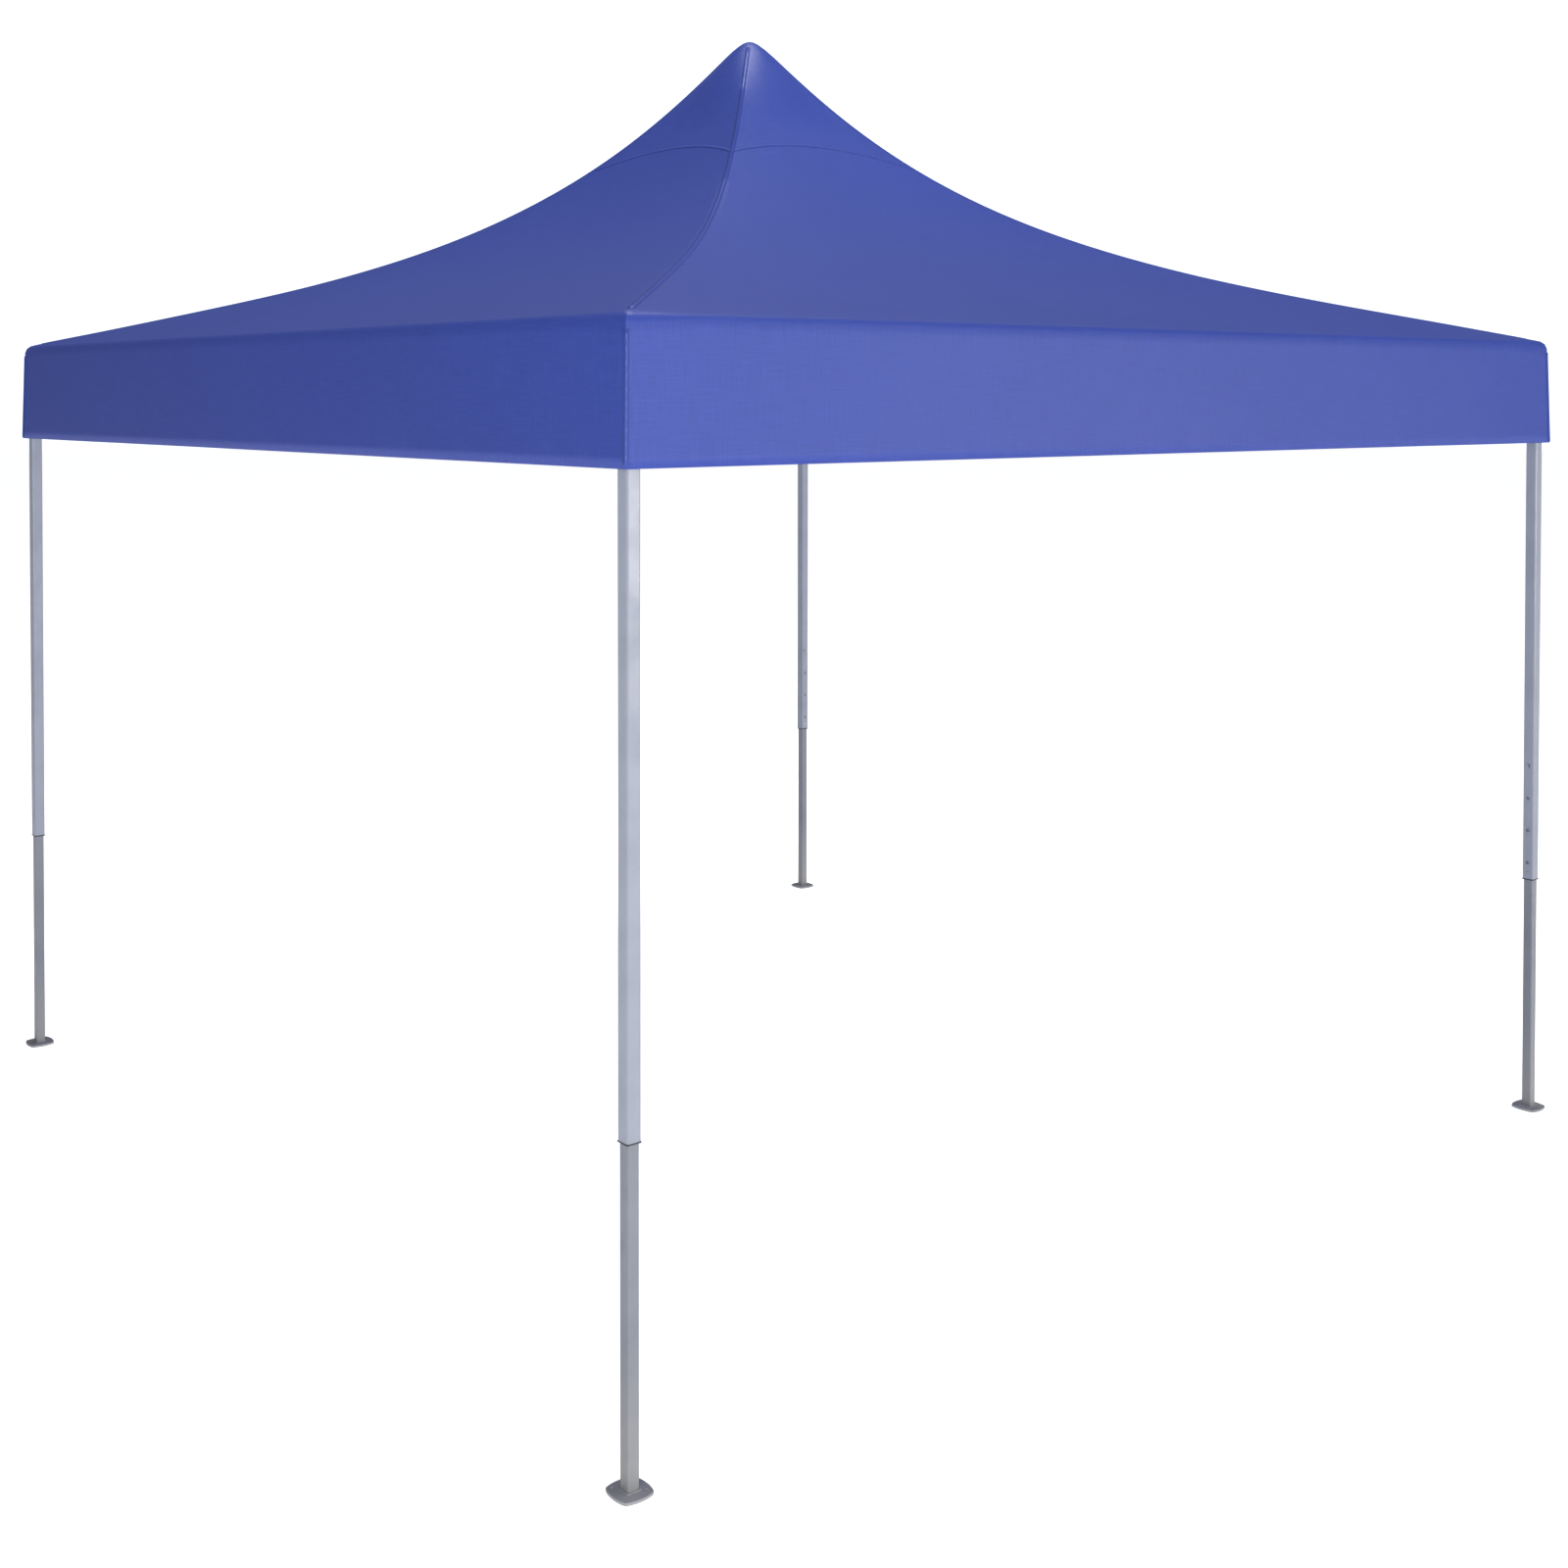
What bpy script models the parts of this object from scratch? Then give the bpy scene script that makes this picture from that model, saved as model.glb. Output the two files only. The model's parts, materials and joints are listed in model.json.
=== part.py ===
"""A 3 x 3 m pop up canopy: four telescopic legs, a scissor frame that folds, a peak post and the cover.

The frame has four sides and four inner arms. Each side holds two scissor pairs, from a mid-side hub out to
the legs, and each inner arm holds one, from the mid-side hub in to the centre. Every bar has the same length
between its pins, so all of them turn through the same angle as the frame folds. Metres, +Z up, feet on z = 0.
"""

import math

import bmesh
import bpy
from mathutils import Matrix, Vector

SIDES = ("front", "right", "back", "left")  # each is the one before it, turned 90 degrees about Z
CORNERS = ("front_right", "back_right", "back_left", "front_left")  # the corner at each side's right end

# Overall
LEG_SPACING = 2.965  # between leg centres
LEG_AT = LEG_SPACING / 2
COVER_HALF = 1.504  # to the cover's outer face
COVER_THICKNESS = 0.002
HEM_Z = 1.780
EAVE_Z = 2.046
PEAK_RISE = 0.8795  # of the hip's curve, from the eave to the point that the peak's rounding cuts off
HIP_STRAIGHT = 0.455  # share of the rise that is a straight slope; the rest is steep and near the peak
HIP_POWER = 4.3
PEAK_ROUND = 0.016  # the rounding's size, as a share of the hip's length
SQUARE_FROM = 0.15  # share of the way to the eave where the level lines have turned from round to square

# Scissors
UPPER_PIN_Z = 2.015
SCISSOR_DEPTH = 0.200  # from the upper pins to the lower ones
LOWER_PIN_Z = UPPER_PIN_Z - SCISSOR_DEPTH
LEG_TO_PIN = 0.070
MID_TO_PIN = 0.050
CENTRE_TO_PIN = 0.070
SPAN = LEG_AT - LEG_TO_PIN - MID_TO_PIN  # a scissor pair's length on the level
PIN_TO_PIN = math.hypot(SPAN, SCISSOR_DEPTH)
BAR_SLOPE = math.atan2(SCISSOR_DEPTH, SPAN)
BAR_WIDTH = 0.012
BAR_DEPTH = 0.025
BAR_WALL = 0.0008
BAR_CORNER = 0.001
BAR_END = 0.012  # past the pin
BAR_OFFSET = 0.0065  # of each bar's middle from the plane between a crossing pair
PIN_RADIUS = 0.003
PIN_HOLE = 0.0035
PIN_SIDES = 8
RIVET_HEAD = 0.005
RIVET_HEAD_HEIGHT = 0.0015

# Forks
EAR_GAP = 0.0005
EAR_THICKNESS = 0.003
EAR_INNER = BAR_WIDTH / 2 + EAR_GAP
EAR_OUTER = EAR_INNER + EAR_THICKNESS
EAR_HALF_HEIGHT = 0.0095
EAR_TIP = 0.009  # past the pin
NECK_HALF_WIDTH = EAR_OUTER + 0.0003
NECK_HALF_HEIGHT = 0.010
WEB_TO_PIN = 0.0185  # the bar's end turns clear of the web
HUB_HALF = 0.017

# Centre hubs and peak post
RING_INNER = 0.041  # the post's cap drops through it
RING_OUTER = 0.049
RING_SIDES = 24
PLATE_RADIUS = 0.026
PLATE_HALF = 0.008
SPIGOT_RADIUS = 0.0108
SPIGOT_TOP = 0.040
POST_RADIUS = 0.0125
POST_WALL = 0.0014
POST_BOTTOM = 0.0105  # above the lower pins
CAP_RADIUS = 0.038
CAP_TOP_Z = 2.879
CAP_DROP = 0.027
CAP_SKIRT = 0.010

# Legs
OUTER_TUBE = 0.030
INNER_TUBE = 0.025
LEG_WALL = 0.0010
OUTER_CORNER = 0.004
INNER_CORNER = 0.003
OUTER_BOTTOM_Z = 0.6165
OUTER_TOP_Z = 2.033
INNER_TOP_Z = 1.250
HEIGHT_HOLES = (0.044, 0.130, 0.216, 0.302)  # above the outer tube's end
HEIGHT_HOLE_RADIUS = 0.005
FOOT_HALF = 0.033
FOOT_THICKNESS = 0.005
FOOT_CORNER = 0.010
PEG_HOLE_AT = 0.0225
PEG_HOLE_RADIUS = 0.0045
BUTTON_Z = OUTER_BOTTOM_Z + HEIGHT_HOLES[-1]
BUTTON_RADIUS = 0.0038
BUTTON_TIP = 0.0182  # from the leg's axis
BUTTON_LEAF = 0.0110
LEAF_THICKNESS = 0.0012
LEAF_HALF_WIDTH = 0.006
LEAF_HALF_LENGTH = 0.030

# Leg brackets, sliders and latches
CAP_HALF = 0.0175
CAP_RECESS = 0.0153
BRACKET_LOW = -0.020
BRACKET_HIGH = 0.022
SLIDER_HALF = 0.018
SLIDER_BORE = 0.0155
SLIDER_LOW = -0.026
SLIDER_HIGH = 0.024
LATCH_SIDE = 0.0095  # off the leg's axis, clear of the fork
BOSS_RADIUS = 0.0066
BOSS_END = 0.030
LATCH_HOLE = 0.0032
LATCH_PIN = 0.0025
LATCH_TIP = 0.0153
KNOB_START = 0.031
KNOB_END = 0.041
KNOB_RADIUS = 0.0055


def clear_scene():
    for obj in list(bpy.data.objects):
        bpy.data.objects.remove(obj)


def make_collection(name):
    collection = bpy.data.collections.new(name)
    bpy.context.scene.collection.children.link(collection)
    return collection


def make_material(name, colour, roughness, metallic=0.0):
    material = bpy.data.materials.new(name)
    material.use_nodes = True
    shader = material.node_tree.nodes["Principled BSDF"]
    shader.inputs["Base Color"].default_value = (*colour, 1.0)
    shader.inputs["Roughness"].default_value = roughness
    shader.inputs["Metallic"].default_value = metallic
    return material


# Simple solids, each as its own mesh


def mesh_from(bm, turn=None):
    if turn is not None:
        bmesh.ops.transform(bm, matrix=turn, verts=bm.verts)
    mesh = bpy.data.meshes.new("solid")
    bm.to_mesh(mesh)
    bm.free()
    return mesh


def bevel_along(bm, direction, width, segments):
    """Bevels the edges that run along one direction."""
    along = Vector(direction)
    edges = [e for e in bm.edges if abs((e.verts[1].co - e.verts[0].co).normalized().dot(along)) > 0.999]
    bmesh.ops.bevel(bm, geom=edges, offset=width, segments=segments, profile=0.5, affect="EDGES")


def box(low, high, turn=None, bevel=None):
    """A box between two corners. bevel is (direction, width, segments), for the edges along that direction."""
    bm = bmesh.new()
    bmesh.ops.create_cube(bm, size=1.0)
    low, high = Vector(low), Vector(high)
    size = high - low
    bmesh.ops.scale(bm, vec=size, verts=bm.verts)
    bmesh.ops.translate(bm, vec=(low + high) / 2, verts=bm.verts)
    if bevel:
        bevel_along(bm, *bevel)
    return mesh_from(bm, turn)


def rod(radius, start, end, sides=PIN_SIDES, turn=None):
    """A solid cylinder between two points."""
    start, end = Vector(start), Vector(end)
    line = end - start
    bm = bmesh.new()
    bmesh.ops.create_cone(
        bm, cap_ends=True, segments=sides, radius1=radius, radius2=radius, depth=line.length
    )
    aim = line.to_track_quat("Z", "Y").to_matrix().to_4x4()
    bmesh.ops.transform(bm, matrix=Matrix.Translation((start + end) / 2) @ aim, verts=bm.verts)
    return mesh_from(bm, turn)


def square_prism(half, low_z, high_z, corner, segments=2):
    return box((-half, -half, low_z), (half, half, high_z), bevel=((0, 0, 1), corner, segments))


def combine(name, solids, cutters=()):
    """Joins the solids, cuts the cutters from them and returns the mesh. The helpers are removed."""
    helpers = [bpy.data.objects.new(name, mesh) for mesh in (*solids, *cutters)]
    for helper in helpers:
        bpy.context.scene.collection.objects.link(helper)
    body = helpers[0]
    for index, helper in enumerate(helpers[1:], start=1):
        modifier = body.modifiers.new("join or cut", "BOOLEAN")
        modifier.operation = "UNION" if index < len(solids) else "DIFFERENCE"
        modifier.solver = "EXACT"
        modifier.object = helper
    graph = bpy.context.evaluated_depsgraph_get()
    mesh = bpy.data.meshes.new_from_object(body.evaluated_get(graph))
    mesh.name = name
    for helper in helpers:
        bpy.data.objects.remove(helper)
    return mesh


def turned(name, profile, sides):
    """A profile of (radius, z) points, turned about Z. It runs down its outer side."""
    outline = bpy.data.meshes.new(name)
    points = [(radius, 0.0, z) for radius, z in profile]
    outline.from_pydata(points, [(i, i + 1) for i in range(len(points) - 1)], [])
    obj = bpy.data.objects.new(name, outline)
    bpy.context.scene.collection.objects.link(obj)
    screw = obj.modifiers.new("turn", "SCREW")
    screw.steps = screw.render_steps = sides
    screw.use_merge_vertices = True
    screw.merge_threshold = 0.00001
    graph = bpy.context.evaluated_depsgraph_get()
    mesh = bpy.data.meshes.new_from_object(obj.evaluated_get(graph))
    bpy.data.objects.remove(obj)
    return mesh


# The frame's shapes. Each is modelled about its own hinge or about the axis of what carries it.


def bar_mesh(name, pinned):
    """A hollow bar along X with a hole at each end, and a riveted pin or a hole where its partner crosses."""
    half = PIN_TO_PIN / 2
    end = half + BAR_END
    wide, deep = BAR_WIDTH / 2, BAR_DEPTH / 2
    solids = [box((-end, -wide, -deep), (end, wide, deep), bevel=((1, 0, 0), BAR_CORNER, 1))]
    bore = (end + 0.001, wide - BAR_WALL, deep - BAR_WALL)
    cutters = [box([-size for size in bore], bore)]
    for x in (-half, half):
        cutters.append(rod(PIN_HOLE, (x, -0.01, 0), (x, 0.01, 0)))
    if not pinned:
        cutters.append(rod(PIN_HOLE, (0, -0.01, 0), (0, 0.01, 0)))
        return combine(name, solids, cutters)
    head = 2 * BAR_OFFSET + wide + EAR_GAP
    pin = rod(PIN_RADIUS, (0, -wide + BAR_WALL / 2, 0), (0, head + 0.001, 0))
    rivet = rod(RIVET_HEAD, (0, head, 0), (0, head + RIVET_HEAD_HEIGHT, 0))
    tube = combine(name, solids, cutters)
    return combine(name, [tube, pin, rivet])


def fork(angle, reach, lateral, start=0.0):
    """A neck, two ears and the pin between them, pointing along X and then turned by the angle about Z."""
    turn = Matrix.Rotation(math.radians(angle), 4, "Z")
    web = reach - WEB_TO_PIN
    solids = [
        box(
            (start, lateral - NECK_HALF_WIDTH, -NECK_HALF_HEIGHT),
            (web, lateral + NECK_HALF_WIDTH, NECK_HALF_HEIGHT),
            turn,
        )
    ]
    for side in (-1, 1):
        inner, outer = sorted((lateral + side * EAR_INNER, lateral + side * EAR_OUTER))
        low = (web - 0.002, inner, -EAR_HALF_HEIGHT)
        high = (reach + EAR_TIP, outer, EAR_HALF_HEIGHT)
        solids.append(box(low, high, turn))
    grip = EAR_OUTER - 0.0005
    solids.append(rod(PIN_RADIUS, (reach, lateral - grip, 0), (reach, lateral + grip, 0), turn=turn))
    return solids


def mid_hub_mesh(name, lateral):
    """Three forks: to the side's right, to the centre and to the side's left."""
    block = box((-HUB_HALF, -HUB_HALF, -NECK_HALF_HEIGHT - 0.001), (HUB_HALF, HUB_HALF, NECK_HALF_HEIGHT + 0.001))
    forks = fork(0, MID_TO_PIN, lateral) + fork(90, MID_TO_PIN, lateral) + fork(180, MID_TO_PIN, -lateral)
    return combine(name, [block, *forks])


def centre_forks(lateral, start):
    return [solid for k in range(4) for solid in fork(-90 + 90 * k, CENTRE_TO_PIN, lateral, start)]


def upper_centre_hub_mesh():
    half = NECK_HALF_HEIGHT + 0.001
    ring = rod(RING_OUTER, (0, 0, -half), (0, 0, half), RING_SIDES)
    hole = rod(RING_INNER, (0, 0, -0.03), (0, 0, 0.03), RING_SIDES)
    middle = (RING_INNER + RING_OUTER) / 2
    return combine("upper_centre_hub", [ring, *centre_forks(-BAR_OFFSET, middle)], [hole])


def lower_centre_hub_mesh():
    plate = rod(PLATE_RADIUS, (0, 0, -PLATE_HALF), (0, 0, PLATE_HALF), 16)
    spigot = rod(SPIGOT_RADIUS, (0, 0, 0), (0, 0, SPIGOT_TOP), 12)
    return combine("lower_centre_hub", [plate, spigot, *centre_forks(BAR_OFFSET, 0.005)])


def peak_post_mesh():
    """The post and its domed cap, from the lower pins up."""
    top = CAP_TOP_Z - LOWER_PIN_Z
    dome_points = 6
    dome = [
        (CAP_RADIUS * i / dome_points, top - CAP_DROP * (i / dome_points) ** 2) for i in range(dome_points + 1)
    ]
    skirt = top - CAP_DROP - CAP_SKIRT
    bore = POST_RADIUS - POST_WALL
    stem = [
        (CAP_RADIUS, skirt),
        (POST_RADIUS, skirt - 0.004),
        (POST_RADIUS, POST_BOTTOM),
        (bore, POST_BOTTOM),
        (bore, skirt),
        (0.0, skirt),
    ]
    return turned("peak_post", dome + stem, 16)


def top_bracket_mesh():
    """A cap over the outer leg, with a fork to each neighbouring side. Its origin is level with the upper pins."""
    cap = square_prism(CAP_HALF, BRACKET_LOW, BRACKET_HIGH, OUTER_CORNER, 1)
    recess_top = OUTER_TOP_Z - UPPER_PIN_Z + 0.0003
    recess = box((-CAP_RECESS, -CAP_RECESS, BRACKET_LOW - 0.01), (CAP_RECESS, CAP_RECESS, recess_top))
    start = (CAP_HALF + CAP_RECESS) / 2
    forks = fork(180, LEG_TO_PIN, -BAR_OFFSET, start) + fork(90, LEG_TO_PIN, BAR_OFFSET, start)
    return combine("top_bracket", [cap, *forks], [recess])


def slider_mesh():
    """A sleeve round the outer leg, with a fork to each neighbouring side and a boss for the latch."""
    sleeve = square_prism(SLIDER_HALF, SLIDER_LOW, SLIDER_HIGH, OUTER_CORNER, 1)
    bore = box((-SLIDER_BORE, -SLIDER_BORE, -0.05), (SLIDER_BORE, SLIDER_BORE, 0.05))
    start = (SLIDER_HALF + SLIDER_BORE) / 2
    forks = fork(180, LEG_TO_PIN, BAR_OFFSET, start) + fork(90, LEG_TO_PIN, -BAR_OFFSET, start)
    boss = rod(BOSS_RADIUS, (-start, LATCH_SIDE, 0), (-BOSS_END, LATCH_SIDE, 0), 12)
    hole = rod(LATCH_HOLE, (-0.010, LATCH_SIDE, 0), (-0.040, LATCH_SIDE, 0))
    return combine("slider", [sleeve, boss, *forks], [bore, hole])


def latch_mesh():
    pin = rod(LATCH_PIN, (-LATCH_TIP, LATCH_SIDE, 0), (-KNOB_START - 0.002, LATCH_SIDE, 0))
    knob = rod(KNOB_RADIUS, (-KNOB_START, LATCH_SIDE, 0), (-KNOB_END, LATCH_SIDE, 0), 12)
    return combine("slider_latch", [pin, knob])


def outer_leg_mesh():
    """The upper tube of a leg, with its height holes and the slider's catch hole. Its origin is on the floor."""
    tube = square_prism(OUTER_TUBE / 2, OUTER_BOTTOM_Z, OUTER_TOP_Z, OUTER_CORNER)
    bore = square_prism(OUTER_TUBE / 2 - LEG_WALL, OUTER_BOTTOM_Z - 0.01, OUTER_TOP_Z + 0.01, 0.0028, 1)
    cutters = [bore]
    for height in HEIGHT_HOLES:
        z = OUTER_BOTTOM_Z + height
        cutters.append(rod(HEIGHT_HOLE_RADIUS, (-0.02, 0, z), (-0.008, 0, z), 10))
    cutters.append(rod(LATCH_HOLE, (-0.02, LATCH_SIDE, LOWER_PIN_Z), (-0.008, LATCH_SIDE, LOWER_PIN_Z)))
    return combine("outer_leg", [tube], cutters)


def foot_plate():
    bm = bmesh.new()
    bmesh.ops.create_cube(bm, size=1.0)
    bmesh.ops.scale(bm, vec=(2 * FOOT_HALF, 2 * FOOT_HALF, FOOT_THICKNESS), verts=bm.verts)
    bmesh.ops.translate(bm, vec=(0, 0, FOOT_THICKNESS / 2), verts=bm.verts)
    bevel_along(bm, (0, 0, 1), FOOT_CORNER, 2)
    rim = [e for e in bm.edges if all(v.co.z > FOOT_THICKNESS - 1e-6 for v in e.verts)]
    bmesh.ops.bevel(bm, geom=rim, offset=0.0025, segments=1, affect="EDGES")
    return mesh_from(bm)


def inner_leg_mesh():
    """The lower tube of a leg, its hole for the snap button, and the foot plate welded to it."""
    tube = square_prism(INNER_TUBE / 2, 0.002, INNER_TOP_Z, INNER_CORNER, 2)
    bore = square_prism(INNER_TUBE / 2 - LEG_WALL, FOOT_THICKNESS, INNER_TOP_Z + 0.01, 0.002, 1)
    cutters = [bore, rod(HEIGHT_HOLE_RADIUS - 0.0004, (-0.02, 0, BUTTON_Z), (-0.008, 0, BUTTON_Z), 10)]
    for side in (-1, 1):
        at = side * PEG_HOLE_AT
        cutters.append(rod(PEG_HOLE_RADIUS, (at, at, -0.01), (at, at, 0.02), 12))
    return combine("inner_leg", [foot_plate(), tube], cutters)


def leg_button_mesh():
    """The snap button and the leaf that carries it inside the inner tube. Its origin is on the leg's axis."""
    leaf = box(
        (-BUTTON_LEAF, -LEAF_HALF_WIDTH, -LEAF_HALF_LENGTH),
        (-BUTTON_LEAF + LEAF_THICKNESS, LEAF_HALF_WIDTH, LEAF_HALF_LENGTH),
    )
    crown = BUTTON_TIP - 0.0012
    stem = rod(BUTTON_RADIUS, (-BUTTON_LEAF + 0.0006, 0, 0), (-crown, 0, 0), 10)
    tip = rod(BUTTON_RADIUS * 0.7, (-crown + 0.001, 0, 0), (-BUTTON_TIP, 0, 0), 10)
    return combine("leg_button", [leaf, stem, tip])


def roof_height(x, y):
    """The cover's outer face: a hip curve that runs out to the corners, round at the peak and square below it."""
    round_way = math.hypot(x, y) / (COVER_HALF * math.sqrt(2))
    square_way = max(abs(x), abs(y)) / COVER_HALF
    blend = min(square_way / SQUARE_FROM, 1.0)
    blend = blend * blend * (3 - 2 * blend)
    way = round_way + (square_way - round_way) * blend
    way = min(math.hypot(way, PEAK_ROUND), 1.0)
    steep = (1 - HIP_STRAIGHT) * (1 - way) ** HIP_POWER
    return EAVE_Z + PEAK_RISE * (HIP_STRAIGHT * (1 - way) + steep)


def canopy_mesh():
    """Roof and valance as one open sheet, given its thickness inwards by Solidify."""
    cells = 16
    bm = bmesh.new()
    bmesh.ops.create_grid(bm, x_segments=cells, y_segments=cells, size=1.0)
    for vert in bm.verts:
        # Squares of the grid's own coordinates, so that the cells are small at the peak
        x, y = (COVER_HALF * abs(t) * t for t in (vert.co.x, vert.co.y))
        vert.co = (x, y, roof_height(x, y))
    for face in list(bm.faces):
        # Each cell is split along its way out from the peak, so that the hips are straight edges
        corners = sorted(face.verts, key=lambda vert: abs(vert.co.x) + abs(vert.co.y))
        bmesh.utils.face_split(face, corners[0], corners[-1])
    border = [edge for edge in bm.edges if edge.is_boundary]
    hung = bmesh.ops.extrude_edge_only(bm, edges=border)["geom"]
    for vert in hung:
        if isinstance(vert, bmesh.types.BMVert):
            vert.co.z = HEM_Z
    bmesh.ops.recalc_face_normals(bm, faces=bm.faces)
    if max(bm.faces, key=lambda face: face.calc_center_median().z).normal.z < 0:
        bmesh.ops.reverse_faces(bm, faces=bm.faces)
    obj = bpy.data.objects.new("canopy", mesh_from(bm))
    bpy.context.scene.collection.objects.link(obj)
    thicken = obj.modifiers.new("thickness", "SOLIDIFY")
    thicken.thickness = COVER_THICKNESS
    thicken.offset = -1.0
    thicken.use_even_offset = True
    graph = bpy.context.evaluated_depsgraph_get()
    mesh = bpy.data.meshes.new_from_object(obj.evaluated_get(graph))
    bpy.data.objects.remove(obj)
    return mesh


# Placing


def place(name, mesh, material, matrix, collection, hinge=None):
    """One node of the object. hinge is the point that it turns about or slides from, and gets an empty."""
    obj = bpy.data.objects.new(name, mesh)
    if not mesh.materials:
        mesh.materials.append(material)
    for polygon in mesh.polygons:
        polygon.use_smooth = True
    mesh.set_sharp_from_angle(angle=math.radians(35))
    collection.objects.link(obj)
    if hinge is not None:
        joint = bpy.data.objects.new(name + "_joint", None)
        joint.empty_display_size = 0.03
        joint.location = hinge
        collection.objects.link(joint)
        obj.parent = joint
        obj.matrix_parent_inverse = Matrix.Translation(-Vector(hinge))
    obj.matrix_basis = matrix
    return obj


def bar_matrix(start, lateral, rises):
    """A bar of a scissor pair that starts at X = start, in the frame of its side or arm."""
    tilt = -BAR_SLOPE if rises else BAR_SLOPE
    middle = (start + SPAN / 2, lateral, (UPPER_PIN_Z + LOWER_PIN_Z) / 2)
    return Matrix.Translation(middle) @ Matrix.Rotation(tilt, 4, "Y")


def build_side(k, meshes, materials, collection):
    """The pieces of side k: two scissor pairs, two hubs, the inner arm's pair, and the leg at its right end."""
    side, corner = SIDES[k], CORNERS[k]
    turn = Matrix.Rotation(math.radians(90 * k), 4, "Z")
    plane = turn @ Matrix.Translation((0, -LEG_AT, 0))
    arm = turn @ Matrix.Rotation(math.radians(-90), 4, "Z")
    leg = turn @ Matrix.Translation((LEG_AT, -LEG_AT, 0))
    upper = Matrix.Translation((0, 0, UPPER_PIN_Z))
    lower = Matrix.Translation((0, 0, LOWER_PIN_Z))
    steel, plastic = materials["steel"], materials["plastic"]

    def put(name, shape, material, matrix, hinge=None):
        point = None if hinge is None else matrix_point(*hinge)
        place(name, meshes[shape], material, matrix, collection, point)

    def matrix_point(frame, point):
        return frame @ Vector(point)

    for word, sign in (("right", 1), ("left", -1)):
        start = MID_TO_PIN if sign > 0 else -MID_TO_PIN - SPAN
        pin = sign * MID_TO_PIN
        outer = plane @ bar_matrix(start, -BAR_OFFSET, rises=sign < 0)
        inner = plane @ bar_matrix(start, BAR_OFFSET, rises=sign > 0)
        name = f"side_bar_{side}_{word}"
        put(name + "_outer", "pinned_bar", steel, outer, (plane, (pin, 0, UPPER_PIN_Z)))
        put(name + "_inner", "holed_bar", steel, inner, (plane, (pin, 0, LOWER_PIN_Z)))
    out_pin = -LEG_AT + MID_TO_PIN
    centre_pin = (CENTRE_TO_PIN, 0, UPPER_PIN_Z)
    crossing = (CENTRE_TO_PIN + SPAN / 2, 0, (UPPER_PIN_Z + LOWER_PIN_Z) / 2)
    put(
        f"inner_bar_{side}_high",
        "pinned_bar",
        steel,
        arm @ bar_matrix(CENTRE_TO_PIN, -BAR_OFFSET, rises=False),
        (arm, centre_pin),
    )
    put(
        f"inner_bar_{side}_low",
        "holed_bar",
        steel,
        arm @ bar_matrix(CENTRE_TO_PIN, BAR_OFFSET, rises=True),
        (arm, crossing),
    )
    put(f"upper_mid_hub_{side}", "upper_mid_hub", plastic, plane @ upper, (turn, (0, out_pin, UPPER_PIN_Z)))
    put(f"lower_mid_hub_{side}", "lower_mid_hub", plastic, plane @ lower, (turn, (0, out_pin, LOWER_PIN_Z)))

    put(f"outer_leg_{corner}", "outer_leg", steel, leg, (leg, (-LEG_TO_PIN, 0, UPPER_PIN_Z)))
    put(f"top_bracket_{corner}", "top_bracket", plastic, leg @ upper, (leg, (-LEG_TO_PIN, 0, UPPER_PIN_Z)))
    put(f"slider_{corner}", "slider", plastic, leg @ lower, (leg, (-LEG_TO_PIN, 0, LOWER_PIN_Z)))
    put(f"slider_latch_{corner}", "slider_latch", materials["knob"], leg @ lower, (leg, (0, 0, LOWER_PIN_Z)))
    put(f"inner_leg_{corner}", "inner_leg", steel, leg, (leg, (0, 0, 0)))
    at_button = Matrix.Translation((0, 0, BUTTON_Z))
    put(f"leg_button_{corner}", "leg_button", materials["zinc"], leg @ at_button, (leg, (0, 0, BUTTON_Z)))


def main():
    clear_scene()
    collection = make_collection("pop_up_canopy")
    materials = {
        "fabric": make_material("blue_cloth", (0.055, 0.085, 0.42), 0.85),
        "steel": make_material("grey_powder_coat", (0.47, 0.50, 0.58), 0.42),
        "plastic": make_material("dark_grey_nylon", (0.045, 0.047, 0.055), 0.55),
        "knob": make_material("red_nylon", (0.45, 0.03, 0.03), 0.50),
        "zinc": make_material("zinc_plate", (0.62, 0.63, 0.65), 0.30, 1.0),
    }
    meshes = {
        "pinned_bar": bar_mesh("pinned_bar", pinned=True),
        "holed_bar": bar_mesh("holed_bar", pinned=False),
        "upper_mid_hub": mid_hub_mesh("upper_mid_hub", -BAR_OFFSET),
        "lower_mid_hub": mid_hub_mesh("lower_mid_hub", BAR_OFFSET),
        "top_bracket": top_bracket_mesh(),
        "slider": slider_mesh(),
        "slider_latch": latch_mesh(),
        "outer_leg": outer_leg_mesh(),
        "inner_leg": inner_leg_mesh(),
        "leg_button": leg_button_mesh(),
    }
    for k in range(4):
        build_side(k, meshes, materials, collection)
    upper = Matrix.Translation((0, 0, UPPER_PIN_Z))
    lower = Matrix.Translation((0, 0, LOWER_PIN_Z))
    place("upper_centre_hub", upper_centre_hub_mesh(), materials["plastic"], upper, collection)
    hub_hinge = (0, -CENTRE_TO_PIN, LOWER_PIN_Z)
    place("lower_centre_hub", lower_centre_hub_mesh(), materials["plastic"], lower, collection, hub_hinge)
    place("peak_post", peak_post_mesh(), materials["steel"], lower, collection, hub_hinge)
    place("canopy", canopy_mesh(), materials["fabric"], Matrix.Identity(4), collection)


main()
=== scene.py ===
# %% [markdown]
# # A pop up canopy
# The imported model is loaded first. It is a fixed frame: each tube, bar, hub and button is already in place
# and in metres, and each belongs to a body that moves. This script adds what makes it look real: the sewn
# cover, the small fittings, the finishes, the lights and the camera.

# %% Load the frame
import json
import math

import bpy
import numpy as np
from mathutils import Matrix, Vector, noise

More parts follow.
